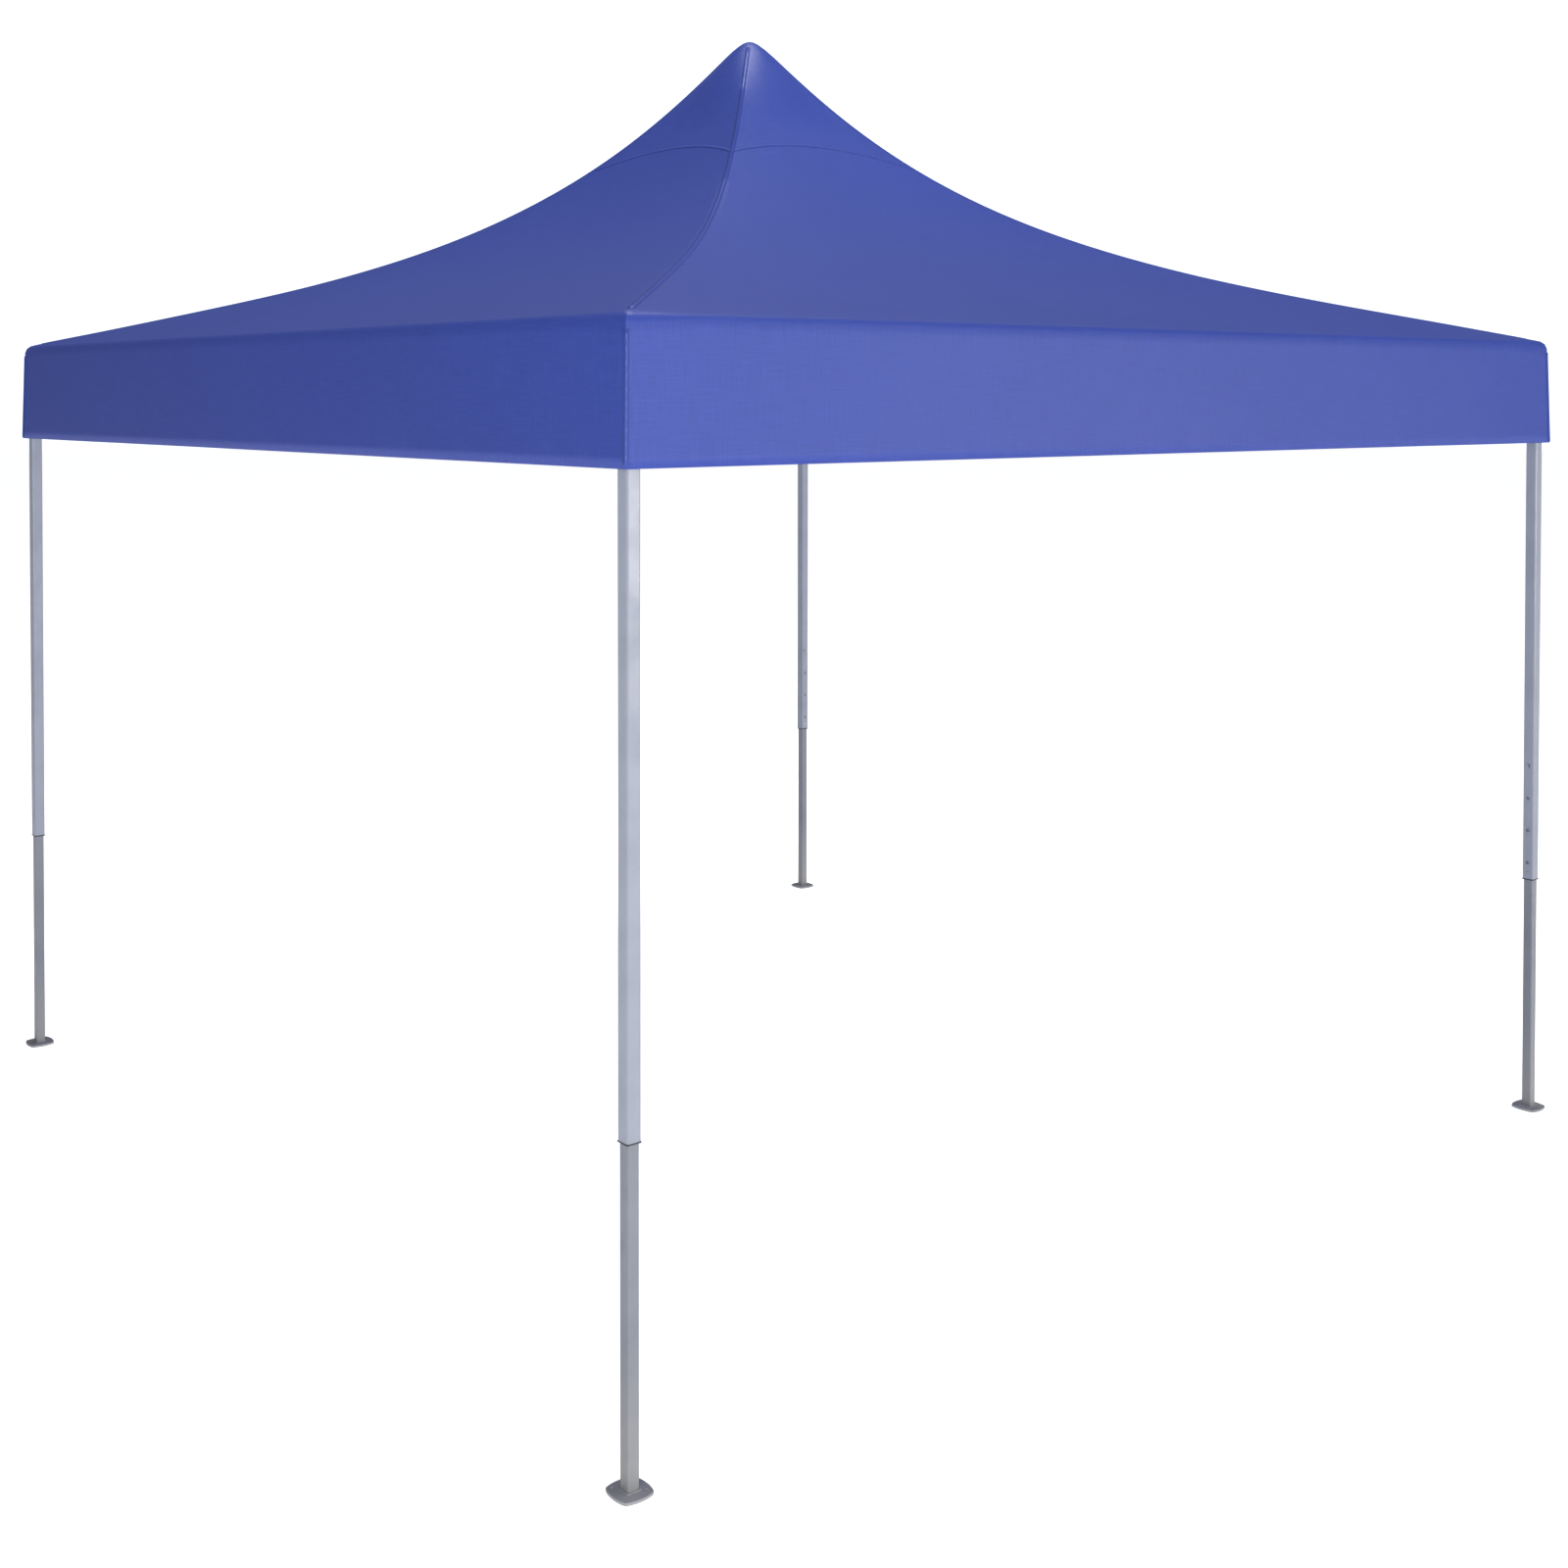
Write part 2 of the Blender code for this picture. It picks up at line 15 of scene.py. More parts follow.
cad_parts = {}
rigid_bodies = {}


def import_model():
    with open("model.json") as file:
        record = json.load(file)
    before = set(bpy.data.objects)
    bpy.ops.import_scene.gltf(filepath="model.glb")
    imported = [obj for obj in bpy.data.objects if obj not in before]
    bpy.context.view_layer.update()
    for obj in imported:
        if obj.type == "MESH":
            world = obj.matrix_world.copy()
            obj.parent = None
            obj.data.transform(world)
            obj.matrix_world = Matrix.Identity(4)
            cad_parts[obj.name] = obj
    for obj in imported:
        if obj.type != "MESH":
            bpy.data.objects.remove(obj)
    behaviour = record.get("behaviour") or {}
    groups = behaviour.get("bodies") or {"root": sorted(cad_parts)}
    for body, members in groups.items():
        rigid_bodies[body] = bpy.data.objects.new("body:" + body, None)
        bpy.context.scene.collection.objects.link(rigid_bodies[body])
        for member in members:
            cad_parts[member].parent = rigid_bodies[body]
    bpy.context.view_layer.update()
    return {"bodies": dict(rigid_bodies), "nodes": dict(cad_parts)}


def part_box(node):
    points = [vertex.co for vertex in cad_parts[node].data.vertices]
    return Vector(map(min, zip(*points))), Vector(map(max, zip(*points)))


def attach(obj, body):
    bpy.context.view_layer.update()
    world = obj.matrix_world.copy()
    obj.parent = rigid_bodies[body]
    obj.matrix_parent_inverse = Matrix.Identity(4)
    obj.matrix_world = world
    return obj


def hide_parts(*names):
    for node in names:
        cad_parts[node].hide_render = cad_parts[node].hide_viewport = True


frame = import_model()
nodes = frame["nodes"]

SIDES = ("front", "right", "back", "left")
CORNERS = ("front_right", "back_right", "back_left", "front_left")
CORNER_SIGNS = ((1, -1), (1, 1), (-1, 1), (-1, -1))

# %% [markdown]
# Some sizes below are taken from the loaded nodes, so the new pieces fit without any adjusting: the cover's half
# width and hem, the outer leg's place, half width and bottom, and the foot's half width. The eave's height, the
# inner tube, the foot's thickness, the pin heights and the roof's curve are numbers written here, with the same
# values as in the model.

# %% Sizes of the frame
cover_low, cover_high = (Vector(corner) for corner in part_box("canopy"))
COVER_HALF = cover_high.x
HEM_Z = cover_low.z
EAVE_Z = 2.046
leg_low, leg_high = (Vector(corner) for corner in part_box("outer_leg_front_right"))
LEG_AT = (leg_low.x + leg_high.x) / 2
OUTER_HALF = (leg_high.x - leg_low.x) / 2
OUTER_BOTTOM_Z = leg_low.z
INNER_HALF = 0.0125
FOOT_HALF = (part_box("inner_leg_front_right")[1][0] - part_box("inner_leg_front_right")[0][0]) / 2
FOOT_THICKNESS = 0.005
UPPER_PIN_Z = 2.015
LOWER_PIN_Z = 1.815
print("cover half", COVER_HALF, "hem", HEM_Z, "legs at", LEG_AT, "foot half", FOOT_HALF)

PEAK_RISE = 0.8795
HIP_STRAIGHT = 0.455
HIP_POWER = 4.3
PEAK_ROUND = 0.016
SQUARE_FROM = 0.15


def smooth(value):
    """A soft step from 0 to 1."""
    value = min(max(value, 0.0), 1.0)
    return value * value * (3 - 2 * value)


def square_way(x, y):
    """How far out a point is: 0 at the peak and 1 at the eave."""
    return min(max(abs(x), abs(y)) / COVER_HALF, 1.0)


def roof_height(x, y):
    """The roof's outer face: a curved hip out to each corner, round at the peak and square below it."""
    round_way = math.hypot(x, y) / (COVER_HALF * math.sqrt(2))
    out = square_way(x, y)
    way = round_way + (out - round_way) * smooth(out / SQUARE_FROM)
    way = min(math.hypot(way, PEAK_ROUND), 1.0)
    steep = (1 - HIP_STRAIGHT) * (1 - way) ** HIP_POWER
    return EAVE_Z + PEAK_RISE * (HIP_STRAIGHT * (1 - way) + steep)


# %% [markdown]
# Some small helpers are used all through. An operator acts on whatever is selected, so `only` selects one
# object and nothing else. `settle` applies an object's place to its mesh, so that the object itself stays at
# the origin. `apply_all` turns its modifiers into plain geometry. The others add a box, copy a piece, start
# editing some of its faces, give it a UV map or cut a hole in it.

# %% Helpers for objects and meshes
SMOOTH_BELOW = math.radians(40)  # edges between faces that meet at less than this look smooth


def only(piece):
    bpy.ops.object.select_all(action="DESELECT")
    piece.select_set(True)
    bpy.context.view_layer.objects.active = piece


def settle(piece, name, material=None):
    only(piece)
    bpy.ops.object.transform_apply(location=True, rotation=True, scale=True)
    piece.name = piece.data.name = name
    if material:
        piece.data.materials.clear()
        piece.data.materials.append(material)
    return piece


def apply_all(piece):
    only(piece)
    for modifier in list(piece.modifiers):
        bpy.ops.object.modifier_apply(modifier=modifier.name)


def smooth_faces(piece, angle=SMOOTH_BELOW):
    only(piece)
    bpy.ops.object.shade_smooth_by_angle(angle=angle)


def own_copy(piece):
    """A copy of the piece with its own mesh."""
    copy = piece.copy()
    copy.data = piece.data.copy()
    bpy.context.scene.collection.objects.link(copy)
    return copy


def copy_to(piece, name, angle, body):
    """A copy turned about the canopy's middle by quarter turns, riding on a body."""
    copy = own_copy(piece)
    copy.rotation_euler.z = angle
    settle(copy, name)
    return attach(copy, body)


def add_box(place, sides):
    """A box with its middle at place. sides gives its length along each axis."""
    bpy.ops.object.select_all(action="DESELECT")
    bpy.ops.mesh.primitive_cube_add(size=1, location=place, scale=sides)
    return bpy.context.object


def edit_faces(piece, chosen):
    """Goes into edit mode with only those faces selected for which chosen gives true."""
    only(piece)
    bpy.ops.object.mode_set(mode="EDIT")
    bpy.ops.mesh.select_mode(type="FACE")
    bpy.ops.mesh.select_all(action="DESELECT")
    bpy.ops.object.mode_set(mode="OBJECT")
    for face in piece.data.polygons:
        face.select = chosen(face)
    bpy.ops.object.mode_set(mode="EDIT")


def cloth_uv(piece):
    """An empty UV map named cloth, in place of the ones that the piece has."""
    while piece.data.uv_layers:
        piece.data.uv_layers.remove(piece.data.uv_layers[0])
    return piece.data.uv_layers.new(name="cloth")


def cut_away(piece, cutter):
    """Takes the cutter's shape out of the piece, and removes the cutter."""
    cut = piece.modifiers.new("hole", "BOOLEAN")
    cut.object = cutter
    cut.operation = "DIFFERENCE"
    cut.solver = "EXACT"
    apply_all(piece)
    bpy.data.objects.remove(cutter)


def round_edges(piece, width, segments=3):
    bevel = piece.modifiers.new("round", "BEVEL")
    bevel.width = width
    bevel.segments = segments
    bevel.limit_method = "ANGLE"
    bevel.angle_limit = SMOOTH_BELOW
    apply_all(piece)
    smooth_faces(piece)


# %% [markdown]
# ## Finishes
# Each material is built from nodes. An effect that several of them use is a node group with named sockets,
# made once. `graph` makes the typing shorter: it adds a node, sets its values and links its inputs. Four more
# helpers add the nodes that are used most, and give the socket with the result.

# %% Helpers for node trees
def graph(tree, kind, links=None, **values):
    """Adds a node. links maps an input's name or number to a socket or to a value."""
    node = tree.nodes.new(kind)
    for name, value in values.items():
        setattr(node, name, value)
    for key, source in (links or {}).items():
        if isinstance(source, bpy.types.NodeSocket):
            tree.links.new(source, node.inputs[key])
        else:
            node.inputs[key].default_value = source
    return node


def maths(tree, operation, *values):
    """The result of a math node. Each value is a socket or a number."""
    return graph(tree, "ShaderNodeMath", dict(enumerate(values)), operation=operation).outputs[0]


def rescale(tree, value, before=(0.0, 1.0), after=(0.0, 1.0)):
    """A value rescaled, so that the range before becomes the range after."""
    ranges = {"From Min": before[0], "From Max": before[1], "To Min": after[0], "To Max": after[1]}
    return graph(tree, "ShaderNodeMapRange", {"Value": value, **ranges}).outputs[0]


def clouds(tree, vector, scale, detail):
    """The grey value of a noise texture."""
    return graph(tree, "ShaderNodeTexNoise", {"Vector": vector, "Scale": scale, "Detail": detail}).outputs["Fac"]


def blend(tree, factor, first, second):
    """Two colours mixed by a factor."""
    inputs = {"Factor": factor, "A": first, "B": second}
    return graph(tree, "ShaderNodeMix", inputs, data_type="RGBA").outputs["Result"]


def group(name, inputs, outputs):
    """An empty node group. inputs maps each name to (type, value); outputs maps each name to a type."""
    tree = bpy.data.node_groups.new(name, "ShaderNodeTree")
    for label, (kind, value) in inputs.items():
        socket = tree.interface.new_socket(label, in_out="INPUT", socket_type="NodeSocket" + kind)
        if value is not None:
            socket.default_value = value
    for label, kind in outputs.items():
        tree.interface.new_socket(label, in_out="OUTPUT", socket_type="NodeSocket" + kind)
    return tree, tree.nodes.new("NodeGroupInput").outputs, tree.nodes.new("NodeGroupOutput").inputs


def blank_material(name):
    material = bpy.data.materials.new(name)
    material.use_nodes = True
    tree = material.node_tree
    return material, tree, tree.nodes["Principled BSDF"]


def wire(tree, shader, sockets, settings):
    """Links sockets to the shader's inputs and sets its other inputs."""
    for name, socket in sockets.items():
        tree.links.new(socket, shader.inputs[name])
    for name, value in settings.items():
        shader.inputs[name].default_value = value


# %% [markdown]
# **Weave.** Canopy cloth is a plain polyester weave with a coated back. Two sets of threads cross, so two
# sine waves at right angles give its height. The threads are about a millimetre apart. A slow noise over
# metres gives the small differences in shade that any large piece of dyed cloth has, and two noises stretched
# along the threads give its slubs: short streaks where a thread is thicker and looks paler.

# %% Node group: weave
weave, given, out = group(
    "weave",
    {"Vector": ("Vector", None), "Threads per metre": ("Float", 900.0)},
    {"Height": "Float", "Shade": "Float", "Fibre": "Float"},
)
split = graph(weave, "ShaderNodeSeparateXYZ", {0: given["Vector"]}).outputs
waves = []
for axis in (0, 1):
    turns = maths(weave, "MULTIPLY", split[axis], given["Threads per metre"])
    waves.append(maths(weave, "SINE", maths(weave, "MULTIPLY", turns, 2 * math.pi)))
streaks = []
for stretch in ((14.0, 330.0, 20.0), (330.0, 14.0, 20.0)):
    stretched = graph(weave, "ShaderNodeMapping", {"Vector": given["Vector"], "Scale": stretch})
    streaks.append(clouds(weave, stretched.outputs[0], 1.0, 2.0))
slow = clouds(weave, given["Vector"], 1.7, 3.0)
slubs = rescale(weave, maths(weave, "ADD", *streaks), (0.75, 1.25))
shade = graph(weave, "ShaderNodeMix", {"Factor": 0.6, "A": slow, "B": slubs})
weave.links.new(maths(weave, "MULTIPLY", *waves), out["Height"])
weave.links.new(shade.outputs["Result"], out["Shade"])
weave.links.new(clouds(weave, given["Vector"], 240.0, 2.0), out["Fibre"])

# %% [markdown]
# **Handling marks.** Painted and moulded parts pick up faint smudges, and dust gathers low down on the legs.
# The group mixes a large and a small noise into one mask, and adds more of it towards the floor.

# %% Node group: handling marks
marks, given, out = group(
    "handling marks",
    {"Vector": ("Vector", None), "Scale": ("Float", 14.0), "Dust height": ("Float", 0.25)},
    {"Marks": "Float", "Grain": "Float", "Dust": "Float"},
)
large = clouds(marks, given["Vector"], given["Scale"], 5.0)
height = graph(marks, "ShaderNodeSeparateXYZ", {0: given["Vector"]}).outputs[2]
low_down = rescale(marks, height, (0.0, given["Dust height"]), (1.0, 0.0))
marks.links.new(rescale(marks, large, (0.42, 0.72)), out["Marks"])
marks.links.new(clouds(marks, given["Vector"], 900.0, 1.0), out["Grain"])
marks.links.new(maths(marks, "MULTIPLY", low_down, large), out["Dust"])

# %% [markdown]
# **Stitching.** A seam is two rows of lockstitch. On a tape's own UV map, u is the distance from the tape's
# nearer edge and v runs along it, both in metres, so the stitches come out at their real size on every tape. A
# stitch is a short dash: two millimetres from the edge, and in the first part of each step along.

# %% Node group: stitching
stitch, given, out = group(
    "stitching",
    {"Vector": ("Vector", None), "Step": ("Float", 0.0045), "From edge": ("Float", 0.002)},
    {"Stitch": "Float"},
)
place = graph(stitch, "ShaderNodeSeparateXYZ", {0: given["Vector"]}).outputs
off_row = maths(stitch, "ABSOLUTE", maths(stitch, "SUBTRACT", place[0], given["From edge"]))
near_row = rescale(stitch, off_row, (0.0002, 0.0004), (1.0, 0.0))
part_way = maths(stitch, "FRACT", maths(stitch, "DIVIDE", place[1], given["Step"]))
dash = maths(stitch, "LESS_THAN", part_way, 0.72)
stitch.links.new(maths(stitch, "MULTIPLY", near_row, dash), out["Stitch"])

# %% [markdown]
# **The cloths.** The cover is royal blue. Its shade shifts a little over the slow noise, and the weave goes
# into the bump. Sheen gives the pale bloom that woven cloth has where light grazes it. Tapes and hems are the
# same cloth with stitching added.

# %% Materials: cloth and tape
CLOTH_DEEP = (0.030, 0.055, 0.303, 1.0)
CLOTH_PALE = (0.041, 0.074, 0.388, 1.0)
TAPE_DEEP = (0.031, 0.057, 0.315, 1.0)
TAPE_PALE = (0.037, 0.067, 0.352, 1.0)
WEBBING_DEEP = (0.012, 0.012, 0.014, 1.0)
WEBBING_PALE = (0.020, 0.020, 0.023, 1.0)
CLOTH_ROUGH = (0.36, 0.46)
CLOTH_BUMP = {"Strength": 0.22, "Distance": 0.0003}
CLOTH_SETTINGS = {"Sheen Weight": 0.02, "Sheen Roughness": 0.4, "Specular IOR Level": 0.5, "IOR": 1.40}
THREAD_PALER = 1.5  # the sewing thread against the pale cloth


def cloth_material(name, deep, pale, stitched):
    material, tree, shader = blank_material(name)
    uv = graph(tree, "ShaderNodeUVMap", uv_map="cloth").outputs[0]
    here = graph(tree, "ShaderNodeTexCoord").outputs["Object"]
    threads = graph(tree, "ShaderNodeGroup", {"Vector": here if stitched else uv}, node_tree=weave).outputs
    colour, height = blend(tree, threads["Shade"], deep, pale), threads["Height"]
    if stitched:
        sewn = graph(tree, "ShaderNodeGroup", {"Vector": uv}, node_tree=stitch).outputs["Stitch"]
        thread_colour = tuple(min(1.0, value * THREAD_PALER) for value in pale[:3]) + (1.0,)
        colour, height = blend(tree, sewn, colour, thread_colour), maths(tree, "ADD", height, sewn)
    rough = rescale(tree, threads["Fibre"], after=CLOTH_ROUGH)
    bump = graph(tree, "ShaderNodeBump", {"Height": height, **CLOTH_BUMP}).outputs[0]
    wire(tree, shader, {"Base Color": colour, "Roughness": rough, "Normal": bump}, CLOTH_SETTINGS)
    return material


cloth = cloth_material("blue cloth", CLOTH_DEEP, CLOTH_PALE, False)
tape = cloth_material("blue seam tape", TAPE_DEEP, TAPE_PALE, True)
webbing = cloth_material("black webbing", WEBBING_DEEP, WEBBING_PALE, True)

# %% [markdown]
# **Paint, nylon and zinc.** Powder coat is slightly orange-peeled paint: a fine grain in the bump and faint
# smudges in the roughness. Moulded nylon is darker and duller. Zinc plate is a metal with soft, cloudy
# patches. One function builds all of them, because they differ only in their values.

# %% Materials: hard parts
DUST_COLOUR = (0.42, 0.40, 0.37, 1.0)
SMUDGE_ROUGHER = 0.14
GRAIN_DEPTH = 0.0002


def hard_material(name, base, other, rough, metallic=0.0, grain=0.12, coat=0.0):
    material, tree, shader = blank_material(name)
    here = graph(tree, "ShaderNodeTexCoord").outputs["Object"]
    handled = graph(tree, "ShaderNodeGroup", {"Vector": here}, node_tree=marks).outputs
    clean = blend(tree, handled["Marks"], (*base, 1.0), (*other, 1.0))
    dusty = blend(tree, handled["Dust"], clean, DUST_COLOUR)
    uneven = rescale(tree, handled["Marks"], after=(rough, min(rough + SMUDGE_ROUGHER, 1.0)))
    grainy = {"Height": handled["Grain"], "Strength": grain, "Distance": GRAIN_DEPTH}
    bump = graph(tree, "ShaderNodeBump", grainy).outputs[0]
    sockets = {"Base Color": dusty, "Roughness": uneven, "Normal": bump}
    wire(tree, shader, sockets, {"Metallic": metallic, "Coat Weight": coat})
    return material


powder_coat = hard_material("grey powder coat", (0.305, 0.33, 0.405), (0.275, 0.30, 0.370), 0.38, coat=0.15)
inner_coat = hard_material("inner powder coat", (0.225, 0.24, 0.280), (0.200, 0.215, 0.255), 0.38, coat=0.15)
nylon = hard_material("dark nylon", (0.030, 0.032, 0.038), (0.042, 0.044, 0.050), 0.52, grain=0.3)
knob_nylon = hard_material("red nylon", (0.42, 0.020, 0.020), (0.35, 0.018, 0.018), 0.42, grain=0.2)
zinc = hard_material("zinc plate", (0.56, 0.57, 0.59), (0.47, 0.48, 0.50), 0.30, metallic=1.0)

FINISHES = {  # a word in a node's name, and its finish; the first word that fits counts
    "leg_button": zinc,
    "inner_leg": inner_coat,
    "slider_latch": knob_nylon,
    "hub": nylon,
    "bracket": nylon,
    "slider": nylon,
}
for name, node in nodes.items():
    finish = next((made for word, made in FINISHES.items() if word in name), powder_coat)
    for holder in node.material_slots:
        holder.material = finish
print("finishes given to", len(nodes), "nodes")

# %% [markdown]
# ## The cover
# The cover is one sewn sheet: a roof that rises to the peak and a valance that hangs from its edge. It starts
# as a grid. Its rows are crowded together at the peak, where the roof curves most, and at the eave, where the
# cloth turns down over the frame. Each point is then lifted to the roof's height, with three things added
# that real cloth does: it dips a little between the hips, it drops in a soft round at the eave, and it
# puckers near the corners where it is pulled tight.

# %% The shape of the cloth
HALF_ROWS = 64
EAVE_INSETS = (0.0, 0.004, 0.012, 0.028)  # of the outermost rows from the cover's edge
ROUND_SIDE = 0.007
ROUND_CORNER = 0.017  # the cloth still clears the bracket on top of the leg
ROUND_REACH = 0.09  # of the larger rounding, from a corner
EVEN_TO = 0.055  # from the edge: inside this, the rows grow wider step by step
ROW_POWER = 1.45
PANEL_DIP = 0.006
CREASE_HEIGHT = 0.0022
CREASE_EDGE = 0.05  # from the edge, where the creases begin
PULL_REACH, PULL_INSIDE, PULL_FOLDS, PULL_SHARE = 0.34, 0.05, 9, 0.55
SLACK_SCALE, SLACK_SEED, SLACK_FROM, SLACK_SHARE = 2.3, 0.7, 3, 0.8
TINY = 1e-6


def row_place(step):
    """Where a row of the grid goes, for step from -1 to 1."""
    index = round(abs(step) * HALF_ROWS)
    from_edge = HALF_ROWS - index
    if from_edge < len(EAVE_INSETS):
        distance = COVER_HALF - EAVE_INSETS[from_edge]
    else:
        last = HALF_ROWS - len(EAVE_INSETS)
        distance = (COVER_HALF - EVEN_TO) * (index / last) ** ROW_POWER
    return math.copysign(distance, step)


def near_corner(x, y, reach):
    """1 at a corner of the cover, falling to 0 away from it."""
    away = math.hypot(COVER_HALF - abs(x), COVER_HALF - abs(y))
    return math.exp(-((away / reach) ** 2))


def cloth_height(x, y):
    """The roof's height with the dip of its panels, its turned edge and its creases."""
    out = square_way(x, y)
    inside = COVER_HALF - max(abs(x), abs(y))
    along = min(abs(x), abs(y)) / max(abs(x), abs(y), TINY)
    dip = PANEL_DIP * (1 - along**2) * math.sin(math.pi * out)
    radius = ROUND_SIDE + (ROUND_CORNER - ROUND_SIDE) * near_corner(x, y, ROUND_REACH)
    turned = max(radius - inside, 0.0)
    drop = radius - math.sqrt(max(radius**2 - turned**2, 0.0))
    taut = near_corner(x, y, PULL_REACH) * (1 - near_corner(x, y, PULL_INSIDE))
    angle = math.atan2(COVER_HALF - abs(y), COVER_HALF - abs(x) + TINY)
    pulled = math.sin(PULL_FOLDS * angle) * taut
    slack = noise.noise(Vector((x * SLACK_SCALE, y * SLACK_SCALE, SLACK_SEED))) * smooth(out * SLACK_FROM)
    crease = CREASE_HEIGHT * (PULL_SHARE * pulled + SLACK_SHARE * slack) * smooth(inside / CREASE_EDGE)
    return roof_height(x, y) - dip - drop + crease


# %% [markdown]
# The grid is added and moved into shape, and then its edge is extruded downwards in short steps, one for each
# ring of the valance. The rings are put in their places further down.

# %% Roof and valance
VALANCE_STEPS = 12
STEP_MARK = 0.0001  # a short step, so that each ring can be told from the one above it
bpy.ops.object.select_all(action="DESELECT")
bpy.ops.mesh.primitive_grid_add(x_subdivisions=2 * HALF_ROWS, y_subdivisions=2 * HALF_ROWS, size=2)
cover = bpy.context.object
for vert in cover.data.vertices:
    x, y = row_place(vert.co.x), row_place(vert.co.y)
    vert.co = (x, y, cloth_height(x, y))
only(cover)
bpy.ops.object.mode_set(mode="EDIT")
bpy.ops.mesh.select_mode(type="EDGE")
bpy.ops.mesh.select_all(action="DESELECT")
bpy.ops.mesh.select_non_manifold()
for _ in range(VALANCE_STEPS):
    bpy.ops.mesh.extrude_region_move(TRANSFORM_OT_translate={"value": (0, 0, -STEP_MARK)})
bpy.ops.object.mode_set(mode="OBJECT")
print("cover points", len(cover.data.vertices))

# %% [markdown]
# Each four-sided face on a hip could be split either way when it is drawn. Split across the hip, it would leave
# a notch in the ridge. These faces are split along the hip instead, which is their longer diagonal, because
# the ridge slopes.


# %% Keep the hips sharp
HIP_NEAR = 1e-4  # how near to a hip a face's middle has to be
ROOF_ONLY = COVER_HALF - 0.001


def on_hip(face):
    x, y = abs(face.center.x), abs(face.center.y)
    return abs(x - y) < HIP_NEAR and max(x, y) < ROOF_ONLY


edit_faces(cover, on_hip)
bpy.ops.mesh.quads_convert_to_tris(quad_method="LONGEST_DIAGONAL")
bpy.ops.object.mode_set(mode="OBJECT")
print("cover faces", len(cover.data.polygons))

# %% [markdown]
# The rings lie a tenth of a millimetre apart. Now each point of the valance is put in its place: an even share
# of the way down to the hem, standing out in long, shallow waves that grow towards the hem.


# %% Hang the valance
HEM_FLARE = 0.006
NEAR_LEG = 0.25  # from a leg: inside this the valance is held straight
LONG_WAVE = (1.6, 3.1, 0.0050)  # each is a scale, a seed and a height
SHORT_WAVE = (5.0, 8.4, 0.0016)
ON_EDGE = COVER_HALF - 1e-5


def wave(x, y, kind):
    scale, seed, height = kind
    return height * noise.noise(Vector((x * scale, y * scale, seed)))


def valance_stand(x, y, down):
    """How far the valance stands out from the cover's side, for down from 0 at the eave to 1 at the hem."""
    along = y if abs(x) > abs(y) else x
    free = 1 - smooth((abs(along) - LEG_AT + NEAR_LEG) / NEAR_LEG)
    return down * (HEM_FLARE * (1 - 0.5 * free) + free * (wave(x, y, LONG_WAVE) + wave(x, y, SHORT_WAVE)))


def stand_out(x, y, distance):
    """A point of the cover's side moved straight out. A corner point moves out on both sides."""
    return (
        x + math.copysign(distance, x) * (abs(x) >= ON_EDGE),
        y + math.copysign(distance, y) * (abs(y) >= ON_EDGE),
    )


ring_points = {}
for vert in cover.data.vertices:
    if max(abs(vert.co.x), abs(vert.co.y)) >= ON_EDGE:
        ring_points.setdefault((round(vert.co.x, 4), round(vert.co.y, 4)), []).append(vert.index)
for column in ring_points.values():
    column.sort(key=lambda index: -cover.data.vertices[index].co.z)
    top = cover.data.vertices[column[0]].co.copy()
    for step, index in enumerate(column):
        down = step / VALANCE_STEPS
        x, y = stand_out(top.x, top.y, valance_stand(top.x, top.y, down))
        cover.data.vertices[index].co = (x, y, top.z + (HEM_Z - top.z) * down)
print("valance columns", len(ring_points))

# %% [markdown]
# Cloth needs a UV map that follows the threads. On the roof, u and v are simply x and y in metres. On the
# valance the height takes over from the direction that points outwards, so the weave runs on down.

# %% UV map in metres
uv_layer = cloth_uv(cover)
for face in cover.data.polygons:
    for loop in face.loop_indices:
        point = cover.data.vertices[cover.data.loops[loop].vertex_index].co
        hung = max(EAVE_Z - point.z, 0.0) if abs(face.normal.z) < 0.5 else 0.0
        u = point.x + math.copysign(hung, point.x) * (abs(face.normal.x) > 0.5)
        v = point.y + math.copysign(hung, point.y) * (abs(face.normal.y) > 0.5)
        uv_layer.data[loop].uv = (u, v)

# %% [markdown]
# ## Folding the cloth with the frame
# When the frame folds, its four middle hubs come in and the peak post goes down. The cloth is tied to them,
# so it gathers between them. A Hook modifier does just this: it pulls the points of a vertex group along with
# an object, each by its own weight. The five hooks here are the four hubs and the post. A point's weight for
# a hub is its share of the way out to that side. Some points get a little less than their share, and are
# left standing outwards: these are the pleats. At rest nothing has moved, so the hooks do nothing.

# %% Hooks that gather the cloth
HUB_TRAVEL = 1.2653  # of a middle hub, from open to folded
POST_TRAVEL = 1.1737
PLEATS = 6  # between the middle of a side and its corner
PLEAT_DEPTH = 0.075
HIP_FLAT = 0.10  # there are no pleats this near to a hip
CROWN_FROM, CROWN_OVER = 0.7, 0.3  # the shares at which the pleats begin, and over which they grow
HEAP_LOW, HEAP_HIGH, HEAP_PEAK = 2.052, 0.085, 0.03
HEAP_FOLDS = 7
HEAP_EVEN, HEAP_LUMPS = 0.7, 0.3
HEAP_EDGE = 0.04
CLOTH_THICKNESS = 0.0012


def pleat(along):
    """0 at the middle hub and at the legs, and 1 at the crown of each pleat between."""
    return math.sin(math.pi * PLEATS * min(abs(along) / LEG_AT, 1.0)) ** 2


def hub_weight(outward, along):
    """The share of a hub's travel that a point makes. outward is towards that hub's side."""
    share = min(max(outward / LEG_AT, 0.0), 1.0)
    off_hip = smooth((outward - abs(along)) / HIP_FLAT)
    crown = smooth((share - CROWN_FROM) / CROWN_OVER) * off_hip * pleat(along)
    return max(share - crown * PLEAT_DEPTH / HUB_TRAVEL, 0.0)


